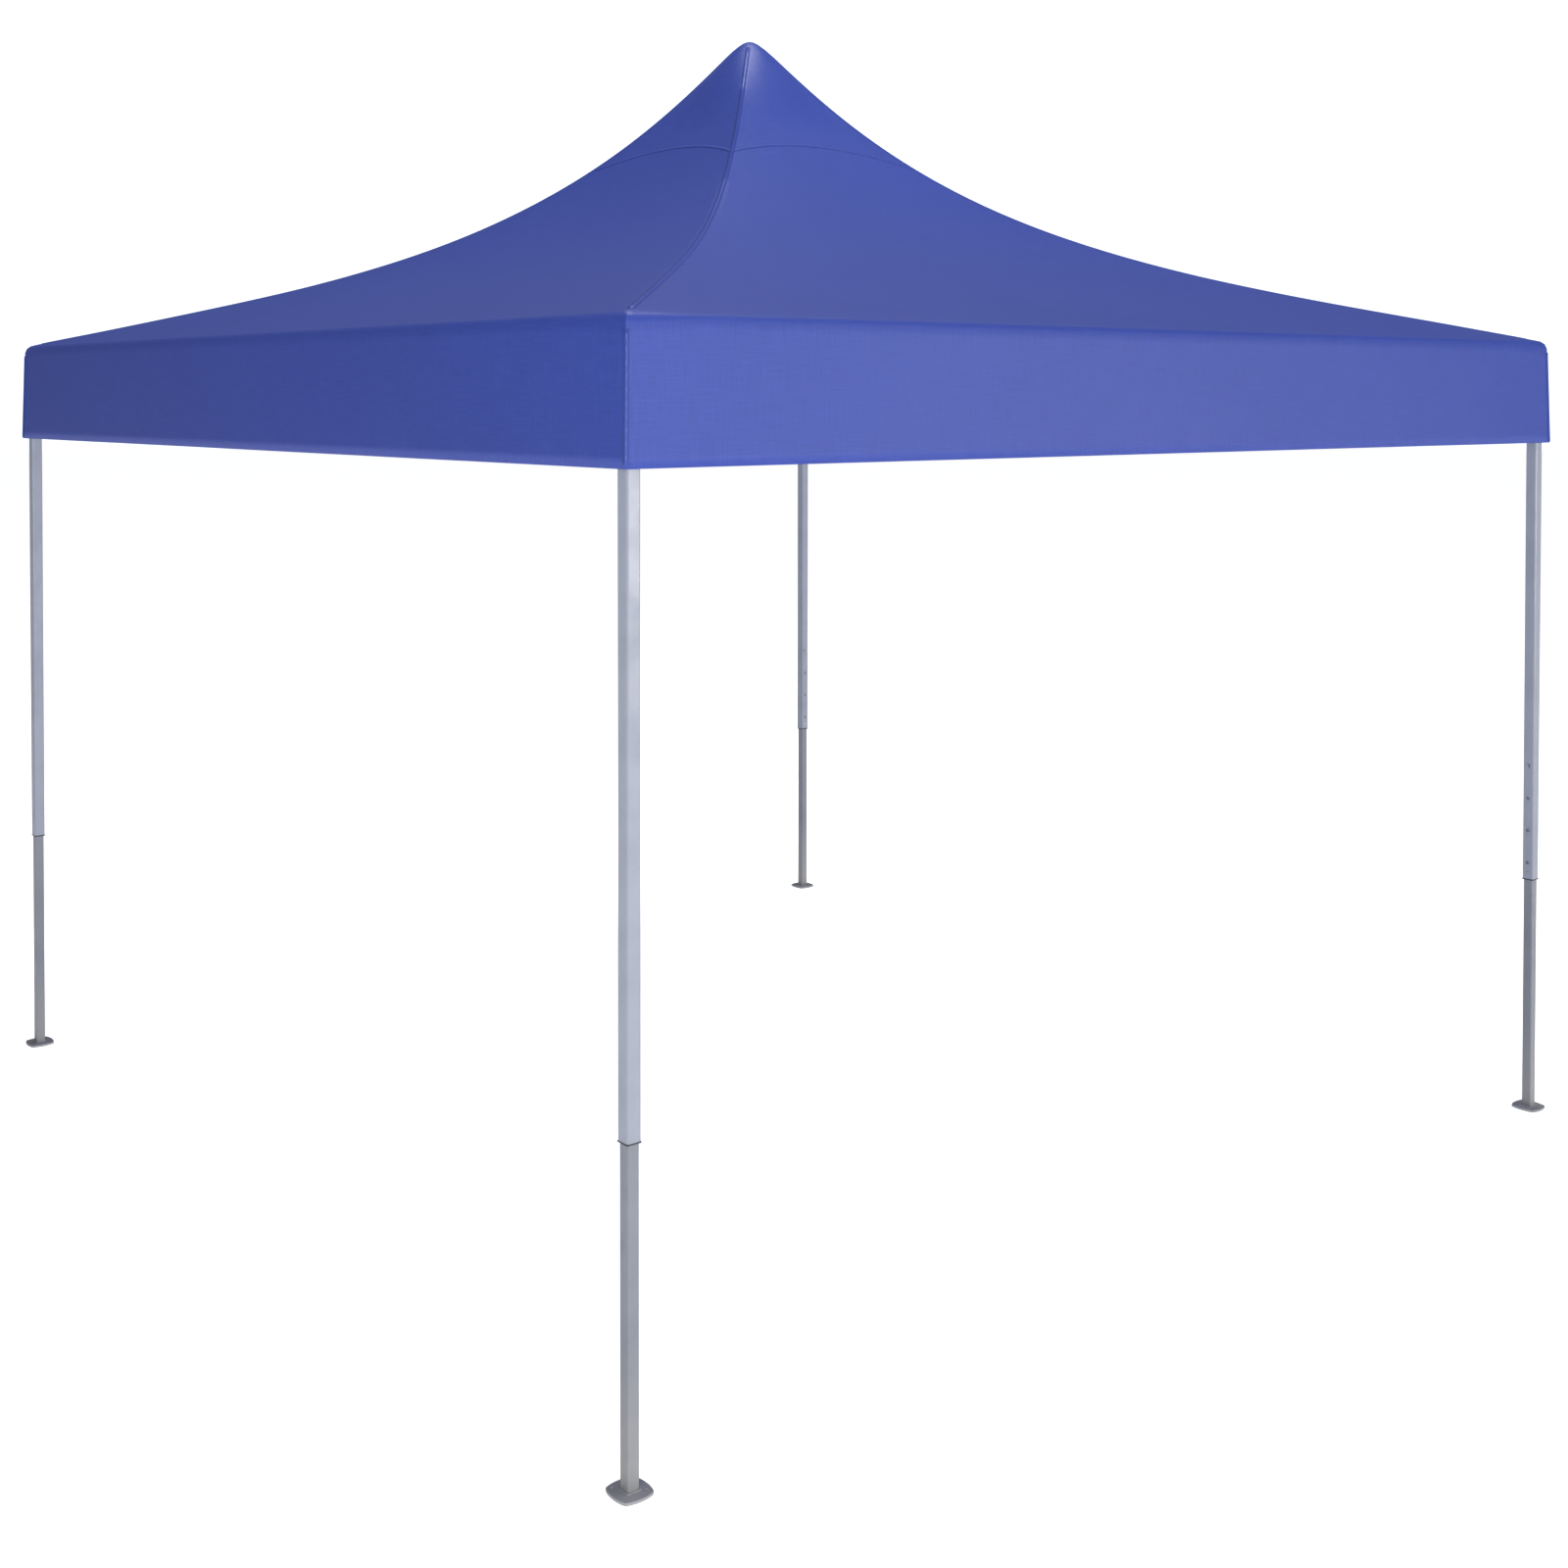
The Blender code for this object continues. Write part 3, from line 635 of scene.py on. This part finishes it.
def post_weight(x, y, z):
    """The share of the post's travel that brings a point of the roof down into the folded heap."""
    if z <= EAVE_Z:
        return 0.0
    out = square_way(x, y)
    lumps = HEAP_EVEN + HEAP_LUMPS * math.cos(4 * math.atan2(y, x))
    folds = abs(math.sin(math.pi * HEAP_FOLDS * out)) * lumps
    heap = HEAP_LOW + HEAP_HIGH * folds * (1 - 0.5 * out) + HEAP_PEAK * (1 - out)
    return max((z - heap) / POST_TRAVEL, 0.0) * smooth((1 - out) / HEAP_EDGE)


def fold_with_frame(piece):
    """Adds the five hooks. The piece's mesh is final, apart from the modifiers that come after them."""
    shares = {f"upper_mid_hub_{side}": [] for side in SIDES}
    shares["centre"] = []
    for vert in piece.data.vertices:
        x, y, z = vert.co
        for side, outward, along in (("front", -y, x), ("right", x, y), ("back", y, x), ("left", -x, y)):
            shares[f"upper_mid_hub_{side}"].append(hub_weight(outward, along))
        shares["centre"].append(post_weight(x, y, z))
    for body, weights in shares.items():
        if max(weights) <= 0:
            continue
        picked = piece.vertex_groups.new(name=body)
        for index, weight in enumerate(weights):
            if weight > 0:
                picked.add([index], weight, "REPLACE")
        hook = piece.modifiers.new("fold " + body, "HOOK")
        hook.object = frame["bodies"][body]
        hook.vertex_group = picked.name
        hook.falloff_type = "NONE"
        hook.matrix_inverse.identity()


def finish_soft(piece, name, material, thickness):
    """Names a soft piece, hooks it to the frame, gives it thickness and lets it ride on the roof's body."""
    settle(piece, name, material)
    fold_with_frame(piece)
    wall = piece.modifiers.new("thickness", "SOLIDIFY")
    wall.thickness = thickness
    wall.offset = -1.0
    smooth_faces(piece, math.radians(50))
    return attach(piece, "roof")


finish_soft(cover, "cover", cloth, CLOTH_THICKNESS)
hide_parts("canopy")

# %% [markdown]
# ## Seams, hem and patches
# The parts of the cover are joined with tapes: one down each hip, one down each corner of the valance, a band
# round the hem, and a square second layer at the peak. Each is a strip that lies on the cloth. `strip` makes
# one from a grid that is a few points wide and many points long: a route gives the strip's middle line and
# the direction across it.


# %% A strip of tape
def strip(name, steps, width, route, material, thickness=0.0020, rows=3):
    """route(t, side) gives a point, for t from 0 to 1 along the strip and side in metres across it."""
    bpy.ops.object.select_all(action="DESELECT")
    bpy.ops.mesh.primitive_grid_add(x_subdivisions=rows - 1, y_subdivisions=steps, size=2)
    piece = bpy.context.object
    places = [((vert.co.y + 1) / 2, vert.co.x) for vert in piece.data.vertices]
    for vert, (t, side) in zip(piece.data.vertices, places):
        vert.co = route(t, side * width / 2)
    line = [Vector(route(i / steps, 0.0)) for i in range(steps + 1)]
    reach = [0.0]
    for start, end in zip(line, line[1:]):
        reach.append(reach[-1] + (end - start).length)
    layer = cloth_uv(piece)
    for corner, loop in enumerate(piece.data.loops):
        t, side = places[loop.vertex_index]
        from_edge = (1 - abs(side)) * width / 2
        layer.data[corner].uv = (from_edge, float(np.interp(t * steps, range(steps + 1), reach)))
    return finish_soft(piece, name, material, thickness)


# %% Hip and corner seams
TAPE_LIFT = 0.0007
DIAGONAL = 0.7071
HIP_FROM, HIP_LENGTH = 0.02, 0.955  # as shares of the way from the peak out to the corner
CORNER_FROM, CORNER_LENGTH = 0.04, 0.95  # as shares of the way down the valance
CORNER_PROUD = 0.0016
for k, (sx, sy) in enumerate(CORNER_SIGNS):
    corner = CORNERS[k]

    def hip_route(t, side, sx=sx, sy=sy):
        """From just below the peak out to the corner, always on the hip."""
        out = (HIP_FROM + HIP_LENGTH * t) * COVER_HALF
        x = sx * out + sy * side * DIAGONAL
        y = sy * out - sx * side * DIAGONAL
        return (x, y, cloth_height(x, y) + TAPE_LIFT)

    strip(f"hip_seam_{corner}", 90, 0.013, hip_route, tape)

    def corner_route(t, side, sx=sx, sy=sy):
        """Down the valance's corner, as a narrow ridge that stands out diagonally."""
        down = CORNER_FROM + CORNER_LENGTH * t
        top_z = cloth_height(sx * COVER_HALF, sy * COVER_HALF)
        stand = valance_stand(sx * COVER_HALF, sy * COVER_HALF, down)
        proud = COVER_HALF + stand + CORNER_PROUD
        on_x = side * sx * sy < 0
        x = sx * (proud - (abs(side) if on_x else 0.0))
        y = sy * (proud - (0.0 if on_x else abs(side)))
        return (x, y, top_z + (HEM_Z - top_z) * down)

    strip(f"corner_seam_{corner}", 24, 0.014, corner_route, tape, rows=5)

# %% [markdown]
# The hem is the cloth's own edge, turned up twice on the inside and sewn. From inside it is a band 25 mm deep,
# and from outside only its lower edge can be seen. The peak's second layer is a piece of cloth with bowed sides,
# and its sewn edge is the faint line that crosses each panel near the top.


# %% Hem and peak layer
HEM_DEPTH = 0.025
HEM_END = 0.005  # from a corner
HEM_BEHIND = 0.0002  # from the cloth's inner face


def turned(turn, along, out):
    """A point that is laid out on the front side, turned to another side: along it, and out from the middle."""
    return along * math.cos(turn) + out * math.sin(turn), along * math.sin(turn) - out * math.cos(turn)


for k, side_name in enumerate(SIDES):
    turn = k * math.pi / 2

    def hem_route(t, side, turn=turn):
        """Along one side's lower edge, on the inside."""
        along = (2 * t - 1) * (COVER_HALF - HEM_END)
        down = 1 - (HEM_DEPTH / 2 - side) / (EAVE_Z - HEM_Z)
        stand = valance_stand(*turned(turn, along, COVER_HALF), down) - CLOTH_THICKNESS - HEM_BEHIND
        return (*turned(turn, along, COVER_HALF + stand), HEM_Z + HEM_DEPTH / 2 - side)

    strip(f"hem_{side_name}", 128, HEM_DEPTH, hem_route, tape)

PATCH_HALF = 0.325
PATCH_BOW = 0.05  # how far the middle of each edge comes in
PATCH_LIFT = 0.0005
for k, side_name in enumerate(SIDES):
    turn = k * math.pi / 2

    def patch_edge(t, side, turn=turn):
        """The sewn edge of the peak's second layer, on one of the four panels."""
        along = (2 * t - 1) * PATCH_HALF
        out = PATCH_HALF - PATCH_BOW * (1 - (along / PATCH_HALF) ** 2) + side
        x, y = turned(turn, along, out)
        return (x, y, cloth_height(x, y) + PATCH_LIFT)

    strip(f"peak_layer_seam_{side_name}", 48, 0.008, patch_edge, tape, 0.0014)

# %% [markdown]
# Below the roof, each corner has a triangle of doubled cloth, because the frame rubs there. It is the same
# shape as the roof above it and hangs just under it.

# %% Inside corner patches
INSIDE_FROM, INSIDE_LENGTH = 0.034, 0.22  # in from the cover's edge
INSIDE_CLEAR = 0.033  # always kept from the edge
INSIDE_SPREAD = 0.9
INSIDE_DROP = 0.0035
for k, (sx, sy) in enumerate(CORNER_SIGNS):

    def inside_route(t, side, sx=sx, sy=sy):
        """A triangle under the roof's corner: t runs in from the corner, and the width shrinks with it."""
        inward = INSIDE_FROM + INSIDE_LENGTH * t
        side *= -sx * sy  # the patch faces up at all four corners
        x = sx * (COVER_HALF - inward + side * (1 - t) * INSIDE_SPREAD)
        y = sy * (COVER_HALF - inward - side * (1 - t) * INSIDE_SPREAD)
        x = math.copysign(min(abs(x), COVER_HALF - INSIDE_CLEAR), x)
        y = math.copysign(min(abs(y), COVER_HALF - INSIDE_CLEAR), y)
        return (x, y, cloth_height(x, y) - INSIDE_DROP)

    strip(f"corner_patch_{CORNERS[k]}", 14, 0.20, inside_route, tape, 0.0008, rows=9)

# %% [markdown]
# ## Leg fittings
# Each leg is two square tubes, one inside the other. Where the inner one comes out there is a dark plastic
# bush, which keeps paint from rubbing on paint, and a small rivet that holds it. The bush is modelled once as
# a square block with its middle pushed through, and copied to the four legs by quarter turns.

# %% Bush at the end of the outer tube
BUSH_PLAY, BUSH_PROUD, BUSH_DROP, BUSH_GAP = 0.0003, 0.0004, 0.003, 0.0002
WELD_OVERLAP, WELD_SIZE, WELD_SUNK = 0.0004, 0.0032, 0.001
corner_x, corner_y = LEG_AT, -LEG_AT


def square_ring(name, halves, heights, material, round_by):
    """A square ring round the first leg: a box, its top and bottom inset and deleted, then bridged."""
    (inner, outer), (low, high) = halves, heights
    box = add_box((corner_x, corner_y, (low + high) / 2), (2 * outer, 2 * outer, high - low))
    piece = settle(box, name, material)
    edit_faces(piece, lambda face: abs(face.normal.z) > 0.9)
    bpy.ops.mesh.inset(thickness=outer - inner, depth=0.0, use_individual=True)
    bpy.ops.mesh.bridge_edge_loops()
    bpy.ops.object.mode_set(mode="OBJECT")
    round_edges(piece, round_by)
    return piece


bush_halves = (INNER_HALF + BUSH_PLAY, OUTER_HALF + BUSH_PROUD)
bush_heights = (OUTER_BOTTOM_Z - BUSH_DROP, OUTER_BOTTOM_Z - BUSH_GAP)
bush = square_ring("bush", bush_halves, bush_heights, nylon, 0.0009)
weld_halves = (INNER_HALF - WELD_OVERLAP, INNER_HALF + WELD_SIZE)
weld_heights = (FOOT_THICKNESS - WELD_SUNK, FOOT_THICKNESS + WELD_SIZE)
collar = square_ring("weld", weld_halves, weld_heights, powder_coat, 0.0014)
print("bush and weld faces", len(bush.data.polygons), len(collar.data.polygons))

# %% [markdown]
# The foot is a pressed steel plate: its sides bow outwards and its top is slightly domed. A cube is cut into
# a grid, then each point is moved: outwards by how near it is to the middle of a side, and up by how near it
# is to the leg. Two peg holes in opposite corners, and the leg's own opening, are cut with a Boolean.

# %% Foot plate
BOW = 0.0028
DOME = 0.0022
PINCH = 0.10
PEG_AT = 0.0225
PEG_RADIUS = 0.0045
PEG_SIDES, PEG_CUTTER = 24, 0.04
FOOT_PROUD, FOOT_ABOVE = 0.0005, 0.0004  # round and above the model's foot, which it covers
FOOT_CUTS = 11
LEG_INTO_FOOT = 0.0005  # the opening is this much smaller than the leg


def foot_plate():
    size = 2 * FOOT_HALF + 2 * FOOT_PROUD
    height = FOOT_THICKNESS + FOOT_ABOVE
    plate = settle(add_box((0, 0, height / 2), (size, size, height)), "foot")
    bpy.ops.object.mode_set(mode="EDIT")
    bpy.ops.mesh.select_all(action="SELECT")
    bpy.ops.mesh.subdivide(number_cuts=FOOT_CUTS)
    bpy.ops.object.mode_set(mode="OBJECT")
    half = size / 2
    for vert in plate.data.vertices:
        x, y, z = vert.co
        u, v = x / half, y / half
        pinch = 1 - PINCH * (u * v) ** 2
        bow_x, bow_y = BOW * (1 - v * v) * u, BOW * (1 - u * u) * v
        rise = DOME * (1 - u * u) * (1 - v * v) * max(z / height, 0.0)
        vert.co = (x * pinch + bow_x, y * pinch + bow_y, z + rise)
    for peg in (-PEG_AT, PEG_AT):
        bpy.ops.object.select_all(action="DESELECT")
        bpy.ops.mesh.primitive_cylinder_add(
            vertices=PEG_SIDES, radius=PEG_RADIUS, depth=PEG_CUTTER, location=(peg, peg, 0)
        )
        cut_away(plate, bpy.context.object)
    opening = 2 * (INNER_HALF - LEG_INTO_FOOT)
    cut_away(plate, add_box((0, 0, FOOT_THICKNESS), (opening, opening, opening)))
    plate.location = (corner_x, corner_y, 0)
    settle(plate, "foot", powder_coat)
    smooth_faces(plate, math.radians(35))
    return plate


foot = foot_plate()
print("foot faces", len(foot.data.polygons))

# %% [markdown]
# A rivet head is a low dome. It starts as a sphere, cut in half with bisect and flattened. The same shape at
# another size serves as the head of every hinge pin on the hubs.


# %% A domed head
def domed_head(name, radius, height, place, axis, material, segments=20):
    """A low dome whose flat side lies at place and whose top points along axis."""
    bpy.ops.object.select_all(action="DESELECT")
    bpy.ops.mesh.primitive_uv_sphere_add(segments=segments, ring_count=12, radius=radius)
    piece = bpy.context.object
    bpy.ops.object.mode_set(mode="EDIT")
    bpy.ops.mesh.select_all(action="SELECT")
    bpy.ops.mesh.bisect(plane_co=(0, 0, 0), plane_no=(0, 0, 1), use_fill=True, clear_inner=True)
    bpy.ops.object.mode_set(mode="OBJECT")
    piece.scale.z = height / radius
    piece.rotation_euler = Vector(axis).to_track_quat("Z", "Y").to_euler()
    piece.location = place
    settle(piece, name, material)
    smooth_faces(piece)
    return piece


RIVET_RADIUS, RIVET_UP = 0.0026, 0.018
RIVET_PROUD = 0.00035  # the slider passes over it with half a millimetre to spare
rivet_place = (corner_x - OUTER_HALF, corner_y, OUTER_BOTTOM_Z + RIVET_UP)
rivet = domed_head("rivet", RIVET_RADIUS, RIVET_PROUD, rivet_place, (-1, 0, 0), zinc)

fittings = {
    "bush": (bush, "leg"),
    "bush_rivet": (rivet, "leg"),
    "foot_weld": (collar, "inner_leg"),
    "foot_plate": (foot, "inner_leg"),
}
for name, (model, body) in fittings.items():
    for k, corner in enumerate(CORNERS):
        copy_to(model, f"{name}_{corner}", k * math.pi / 2, f"{body}_{corner}")
    bpy.data.objects.remove(model)
print("leg fittings", 4 * len(fittings))

# %% [markdown]
# ## Hub fittings
# A hub, bracket or slider holds each bar in a fork: two ears with a pin through them. The pin ends in a domed
# rivet head on each ear's outer face. There are 48 forks: three on each middle hub, two on each bracket and
# slider, and four on each centre hub. A fork's frame says where its hub is and which way it is turned.

# %% Where the forks are
PIN_OUT = 0.0095  # from a fork's middle to its ears' outer faces
BAR_OFFSET = 0.0065
MID_TO_PIN, LEG_TO_PIN, CENTRE_TO_PIN = 0.050, 0.070, 0.070
forks = []  # each is a name, a body, its hub's frame, the angle it points at, its reach and its offset
for k in range(4):
    side, corner = SIDES[k], CORNERS[k]
    quarter = Matrix.Rotation(k * math.pi / 2, 4, "Z")
    for level, z, sign in (("upper", UPPER_PIN_Z, -1), ("lower", LOWER_PIN_Z, 1)):
        shift = sign * BAR_OFFSET
        hub = quarter @ Matrix.Translation((0, -LEG_AT, z))
        leg = quarter @ Matrix.Translation((LEG_AT, -LEG_AT, z))
        centre = quarter @ Matrix.Translation((0, 0, z))
        hub_body = f"{level}_mid_hub_{side}"
        leg_body = f"leg_{corner}" if level == "upper" else f"slider_{corner}"
        centre_body = "roof" if level == "upper" else "centre"
        for angle, offset in ((0, shift), (90, shift), (180, -shift)):
            forks.append((f"{level}_mid_{side}_{angle}", hub_body, hub, angle, MID_TO_PIN, offset))
        for angle, offset in ((180, shift), (90, -shift)):
            forks.append((f"{level}_leg_{corner}_{angle}", leg_body, leg, angle, LEG_TO_PIN, offset))
        forks.append((f"{level}_centre_{side}", centre_body, centre, -90, CENTRE_TO_PIN, shift))
print("forks", len(forks))

# %% Rivet heads on the forks
HEAD_RADIUS = 0.0046
HEAD_HEIGHT = 0.0012
for name, body, hub, angle, reach, offset in forks:
    pointed = hub @ Matrix.Rotation(math.radians(angle), 4, "Z")
    for word, face in (("a", -1), ("b", 1)):
        at = pointed @ Vector((reach, offset + face * PIN_OUT, 0))
        axis = pointed.to_3x3() @ Vector((0, face, 0))
        head_name = f"pin_head_{name}_{word}"
        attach(domed_head(head_name, HEAD_RADIUS, HEAD_HEIGHT, at, axis, zinc, 12), body)
print("pin heads", 2 * len(forks))

# %% [markdown]
# The bars are thin rectangular tubes. A nylon plug closes each end: a lip as wide as the bar, and behind it a
# smaller block that fills the bore. It is made once at the end of a bar that lies along X, by an inset and an
# extrusion of a flat box, and then placed on both ends of the 24 bars.

# %% Bar end plugs
SCISSOR_DEPTH = UPPER_PIN_Z - LOWER_PIN_Z
SPAN = LEG_AT - LEG_TO_PIN - MID_TO_PIN
BAR_SLOPE = math.atan2(SCISSOR_DEPTH, SPAN)
BAR_PAST_PIN = 0.012
BAR_HALF = math.hypot(SPAN, SCISSOR_DEPTH) / 2 + BAR_PAST_PIN
BAR_WIDTH, BAR_DEPTH, BAR_WALL = 0.012, 0.025, 0.0008
PLUG_LIP, PLUG_DEPTH, PLUG_PLAY = 0.0008, 0.007, 0.0003
plug_box = add_box((BAR_HALF + PLUG_LIP / 2, 0, 0), (PLUG_LIP, BAR_WIDTH, BAR_DEPTH))
plug = settle(plug_box, "plug", nylon)
edit_faces(plug, lambda face: face.normal.x < -0.9)
bpy.ops.mesh.inset(thickness=BAR_WALL + PLUG_PLAY, depth=0.0)
bpy.ops.mesh.extrude_region_move(TRANSFORM_OT_translate={"value": (-PLUG_DEPTH, 0, 0)})
bpy.ops.object.mode_set(mode="OBJECT")
round_edges(plug, 0.0003, 2)
bars = []  # each is a name, the frame it lies in, where it starts, its offset and which way it slopes
for k, side in enumerate(SIDES):
    quarter = Matrix.Rotation(k * math.pi / 2, 4, "Z")
    along = quarter @ Matrix.Translation((0, -LEG_AT, 0))
    arm = quarter @ Matrix.Rotation(-math.pi / 2, 4, "Z")
    for word, sign, start in (("right", 1, MID_TO_PIN), ("left", -1, -MID_TO_PIN - SPAN)):
        bars.append((f"side_bar_{side}_{word}_outer", along, start, -BAR_OFFSET, sign))
        bars.append((f"side_bar_{side}_{word}_inner", along, start, BAR_OFFSET, -sign))
    bars.append((f"inner_bar_{side}_high", arm, CENTRE_TO_PIN, -BAR_OFFSET, 1))
    bars.append((f"inner_bar_{side}_low", arm, CENTRE_TO_PIN, BAR_OFFSET, -1))
for name, place, start, offset, falls in bars:
    middle = (start + SPAN / 2, offset, (UPPER_PIN_Z + LOWER_PIN_Z) / 2)
    lie = place @ Matrix.Translation(middle) @ Matrix.Rotation(falls * BAR_SLOPE, 4, "Y")
    for word, end_turn in (("a", 0.0), ("b", math.pi)):
        copy = own_copy(plug)
        copy.matrix_world = lie @ Matrix.Rotation(end_turn, 4, "Z")
        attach(settle(copy, f"bar_plug_{name}_{word}"), name)
bpy.data.objects.remove(plug)
print("bar plugs", 2 * len(bars))

# %% [markdown]
# The latch knob has a ribbed rim so that fingers hold it. Every other side face of a cylinder is inset and
# moved out a little, and the whole is rounded.

# %% Latch knobs
LATCH_SIDE = 0.0095
KNOB_FROM, KNOB_TO, KNOB_RADIUS = 0.0308, 0.0412, 0.0062
RIB_INSET, RIB_HEIGHT = 0.0004, 0.0006
bpy.ops.object.select_all(action="DESELECT")
bpy.ops.mesh.primitive_cylinder_add(
    vertices=24,
    radius=KNOB_RADIUS,
    depth=KNOB_TO - KNOB_FROM,
    location=(corner_x - (KNOB_FROM + KNOB_TO) / 2, corner_y + LATCH_SIDE, LOWER_PIN_Z),
    rotation=(0, math.pi / 2, 0),
)
knob = settle(bpy.context.object, "knob", knob_nylon)
edit_faces(knob, lambda face: abs(face.normal.x) < 0.1 and face.index % 2 == 0)
bpy.ops.mesh.inset(thickness=RIB_INSET, depth=RIB_HEIGHT, use_individual=True)
bpy.ops.object.mode_set(mode="OBJECT")
round_edges(knob, 0.0003, 2)
for k, corner in enumerate(CORNERS):
    copy_to(knob, f"latch_knob_{corner}", k * math.pi / 2, f"slider_latch_{corner}")
bpy.data.objects.remove(knob)

# %% [markdown]
# The valance is held to the frame by hook and loop tape. A patch of it, black and two millimetres thick, is
# glued to the outer face of each upper middle hub.

# %% Hook tape on the hubs
HOOK_TAPE_SIDES = (0.020, 0.0020, 0.026)
HOOK_TAPE_OUT = 0.0181  # from the line of the legs
hook_tape = add_box((0, -LEG_AT - HOOK_TAPE_OUT, UPPER_PIN_Z), HOOK_TAPE_SIDES)
settle(hook_tape, "hook tape", webbing)
hook_uv = cloth_uv(hook_tape)
for corner_index, loop in enumerate(hook_tape.data.loops):
    point = hook_tape.data.vertices[loop.vertex_index].co
    hook_uv.data[corner_index].uv = (HOOK_TAPE_SIDES[0] / 2 - abs(point.x), point.z)
round_edges(hook_tape, 0.0006, 2)
for k, side in enumerate(SIDES):
    copy_to(hook_tape, f"hook_tape_{side}", k * math.pi / 2, f"upper_mid_hub_{side}")
bpy.data.objects.remove(hook_tape)

# %% [markdown]
# ## Stage, lights and camera
# The canopy stands on a plain, pale floor under a white sky. A large soft light high above lights the roof, one
# to the front right lights the front side, and a weaker one near the left corner opens up the left side. The
# floor and the sky look brighter than the light they give, so that they stay white without washing out the
# colours: a Light Path node tells which rays come straight from the camera.

# %% Floor and lights
FLOOR_SEEN, FLOOR_GLOW, FLOOR_GLOSS = 0.9, 0.72, 0.15
SKY_SEEN, SKY_LIGHT = 1.3, 0.12
FLOOR_SETTINGS = {
    "Base Color": (0.90, 0.90, 0.90, 1.0),
    "Roughness": 0.9,
    "Specular IOR Level": 0.1,
    "Emission Color": (1.0, 1.0, 1.0, 1.0),
}
bpy.ops.object.select_all(action="DESELECT")
bpy.ops.mesh.primitive_plane_add(size=120, location=(0, 0, -0.0005))
floor = bpy.context.object
floor.name = "floor"
floor_material, floor_tree, floor_shader = blank_material("pale floor")
floor_path = graph(floor_tree, "ShaderNodeLightPath").outputs
unseen = rescale(floor_tree, floor_path["Is Glossy Ray"], after=(FLOOR_GLOW, FLOOR_GLOSS))
glow = rescale(floor_tree, floor_path["Is Camera Ray"], after=(unseen, FLOOR_SEEN))
wire(floor_tree, floor_shader, {"Emission Strength": glow}, FLOOR_SETTINGS)
floor.data.materials.append(floor_material)

world = bpy.data.worlds.new("studio")
bpy.context.scene.world = world
world.use_nodes = True
sky = world.node_tree.nodes["Background"]
sky.inputs["Color"].default_value = (0.86, 0.92, 1.0, 1.0)
seen = graph(world.node_tree, "ShaderNodeLightPath").outputs["Is Camera Ray"]
strength = rescale(world.node_tree, seen, after=(SKY_LIGHT, SKY_SEEN))
world.node_tree.links.new(strength, sky.inputs["Strength"])

LIGHTS = {  # each is a place, the point it faces, a size, a power and a colour
    "key": ((6.0, -12.0, 2.2), (0.0, -0.8, 1.9), 4.0, 650, (1.0, 0.98, 0.94)),
    "top": ((0.5, 0.0, 12.0), (0.0, 0.0, 2.0), 5.0, 1000, (1.0, 1.0, 1.0)),
    "fill": ((-4.4, -4.2, 2.0), (-1.5, -0.6, 1.9), 2.5, 95, (1.0, 1.0, 1.0)),
}
for name, (place, aim, size, power, colour) in LIGHTS.items():
    bpy.ops.object.light_add(type="AREA", location=place)
    light = bpy.context.object
    light.name = name
    light.data.energy = power
    light.data.size = size
    light.data.color = colour
    light.rotation_euler = (Vector(aim) - Vector(place)).to_track_quat("-Z", "Y").to_euler()

# %% Camera
CAMERA_PLACE = (-3.4295, -4.1846, 1.9064)
CAMERA_TURN = (math.radians(88.8), 0, math.radians(-37.97))
LENS, SENSOR_WIDTH = 44.5, 36.0
SHIFT_X, SHIFT_Y = 0.0516, -0.2222
bpy.ops.object.camera_add(location=CAMERA_PLACE, rotation=CAMERA_TURN)
camera = bpy.context.object
camera.data.lens = LENS
camera.data.sensor_width = SENSOR_WIDTH
camera.data.shift_x = SHIFT_X
camera.data.shift_y = SHIFT_Y
bpy.context.scene.camera = camera
bpy.context.scene.view_settings.view_transform = "Standard"
